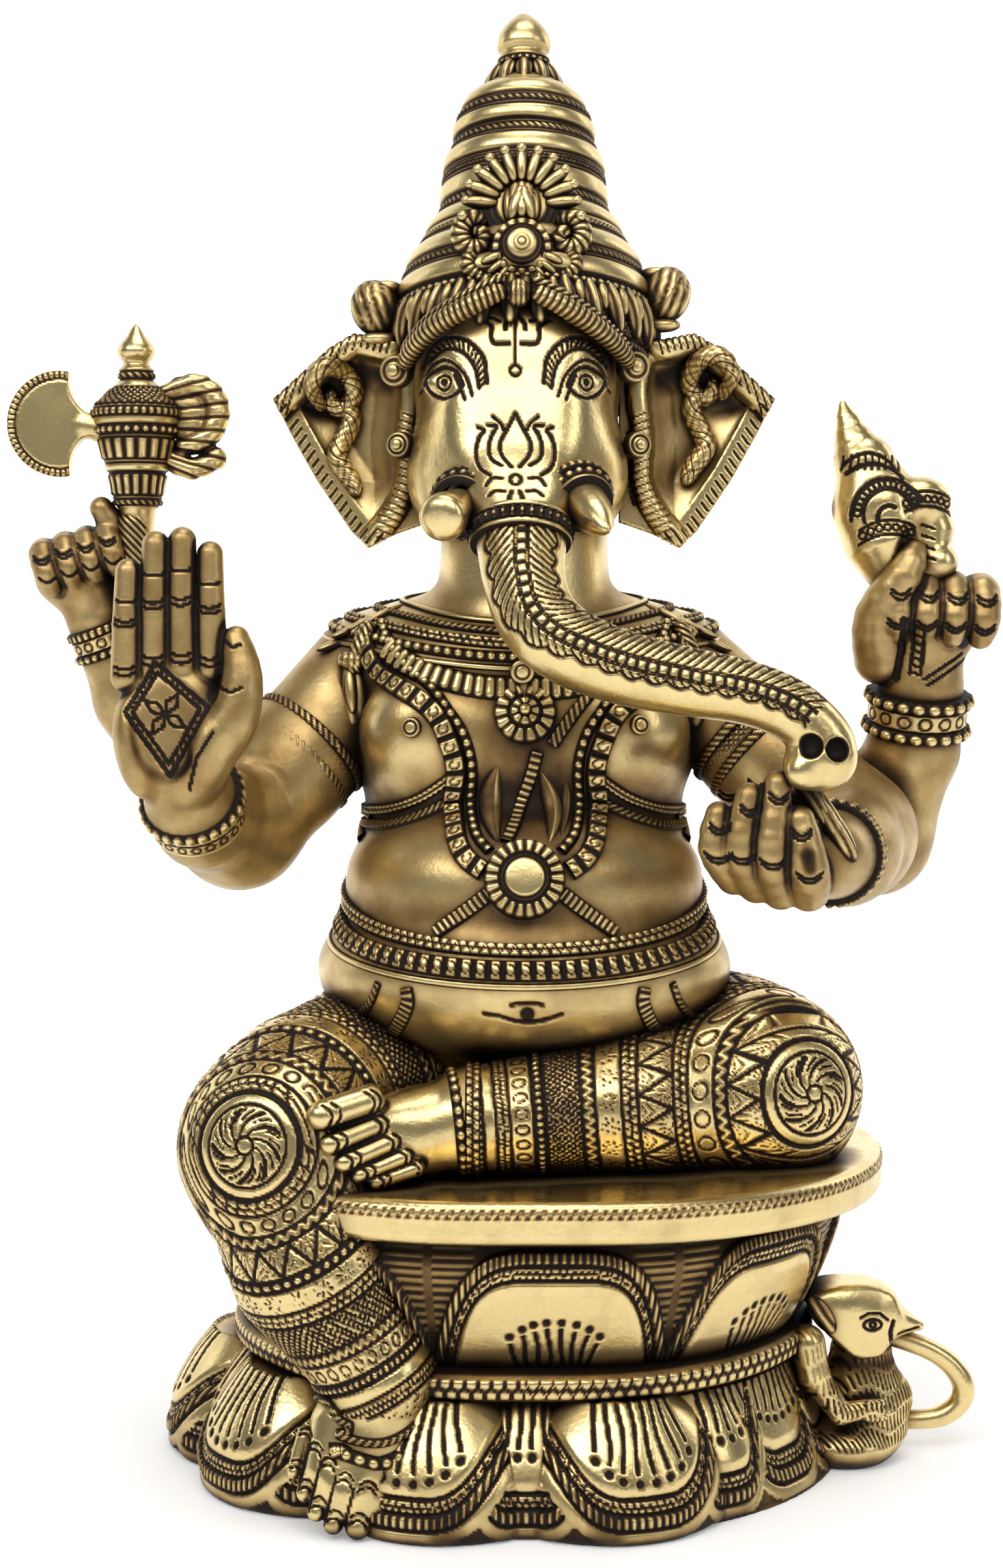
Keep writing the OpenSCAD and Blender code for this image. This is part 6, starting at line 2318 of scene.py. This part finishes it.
def make_floor():
    """A pale floor that curves up into a pale backdrop, both glowing as painted light, faintly in front and
    brightly at the back.
    """
    profile = [(-2.5, 0.0), (0.9, 0.0)]
    for k in range(1, 13):
        turn = math.radians(7.5 * k)
        profile.append((0.9 + 0.7 * math.sin(turn), 0.7 - 0.7 * math.cos(turn)))
    profile.append((1.6, 3.2))
    points = [(x, y, z) for y, z in profile for x in (-3.5, 3.5)]
    faces = [(2 * i, 2 * i + 1, 2 * i + 3, 2 * i + 2) for i in range(len(profile) - 1)]
    mesh = bpy.data.meshes.new("floor")
    mesh.from_pydata(points, [], faces)
    mesh.polygons.foreach_set("use_smooth", np.ones(len(faces), bool))
    pale = bpy.data.materials.new("floor_white_glowing")
    pale.use_nodes = True
    shader = pale.node_tree.nodes["Principled BSDF"]
    shader.inputs["Base Color"].default_value = (0.9, 0.9, 0.9, 1)
    shader.inputs["Roughness"].default_value = 0.9
    shader.inputs["Emission Color"].default_value = (1, 1, 1, 1)
    place = pale.node_tree.nodes.new("ShaderNodeTexCoord")
    split = pale.node_tree.nodes.new("ShaderNodeSeparateXYZ")
    # Painted light: the floor glows faintly and the backdrop behind it brightly, as if lit by lamps.
    glow = pale.node_tree.nodes.new("ShaderNodeMapRange")
    glow.inputs["From Min"].default_value = 0.1
    glow.inputs["From Max"].default_value = 0.8
    glow.inputs["To Min"].default_value = 0.22
    glow.inputs["To Max"].default_value = 0.8
    link(pale.node_tree, place.outputs["Object"], split.inputs["Vector"])
    link(pale.node_tree, split.outputs["Y"], glow.inputs["Value"])
    link(pale.node_tree, glow.outputs["Result"], shader.inputs["Emission Strength"])
    mesh.materials.append(pale)
    floor = bpy.data.objects.new("floor", mesh)
    bpy.context.scene.collection.objects.link(floor)


def lamp(name, place, target, size, watts, colour=(1, 1, 1)):
    """An area lamp that points at a target."""
    light = bpy.data.lights.new(name, "AREA")
    light.shape = "RECTANGLE"
    light.size, light.size_y = size
    light.energy = watts
    light.color = colour
    lamp_object = bpy.data.objects.new(name, light)
    lamp_object.location = place
    way = Vector(target) - Vector(place)
    lamp_object.rotation_mode = "QUATERNION"
    lamp_object.rotation_quaternion = way.to_track_quat("-Z", "Y")
    bpy.context.scene.collection.objects.link(lamp_object)


def make_studio():
    """Soft lamps round the object and a faint even light."""
    world = bpy.data.worlds.new("studio")
    world.use_nodes = True
    world.node_tree.nodes["Background"].inputs["Color"].default_value = (1, 1, 1, 1)
    world.node_tree.nodes["Background"].inputs["Strength"].default_value = 0.16
    bpy.context.scene.world = world
    bpy.context.scene.view_settings.view_transform = "Standard"
    middle = (0.008, 0.0, 0.18)
    head = (0.008, 0.0, 0.25)
    lamp("front", (0.0, -0.62, 0.74), head, (0.9, 0.45), 4.0, (1.0, 0.98, 0.95))
    lamp("key", (-0.75, -0.75, 0.95), middle, (0.45, 0.45), 3.6)
    lamp("fill", (0.95, -0.6, 0.6), middle, (0.3, 0.7), 1.6)
    lamp("top", (0.05, -0.1, 1.3), middle, (0.7, 0.5), 4.0)
    lamp("left_edge", (-0.95, 0.25, 0.5), middle, (0.2, 0.7), 0.8)
    lamp("right_edge", (0.9, 0.4, 0.6), middle, (0.2, 0.7), 0.8)


def make_camera():
    """A camera that looks slightly down from in front."""
    camera = bpy.data.cameras.new("camera")
    camera.sensor_width = 36.0
    camera.lens = 56.06
    camera.clip_start = 0.01
    holder = bpy.data.objects.new("camera", camera)
    holder.location = (0.003, -0.600, 0.200)
    holder.rotation_euler = (math.radians(90 - 3.45), 0, 0)
    bpy.context.scene.collection.objects.link(holder)
    bpy.context.scene.camera = holder


# ---- everything ------------------------------------------------------------------

throne()
mouse()
legs()
torso(make_torso_clay())
right_front_arm()
left_front_arm()
rear_arms()
armlets()
head()
ears()
crown()
axe()
conch()
make_floor()
make_studio()
make_camera()
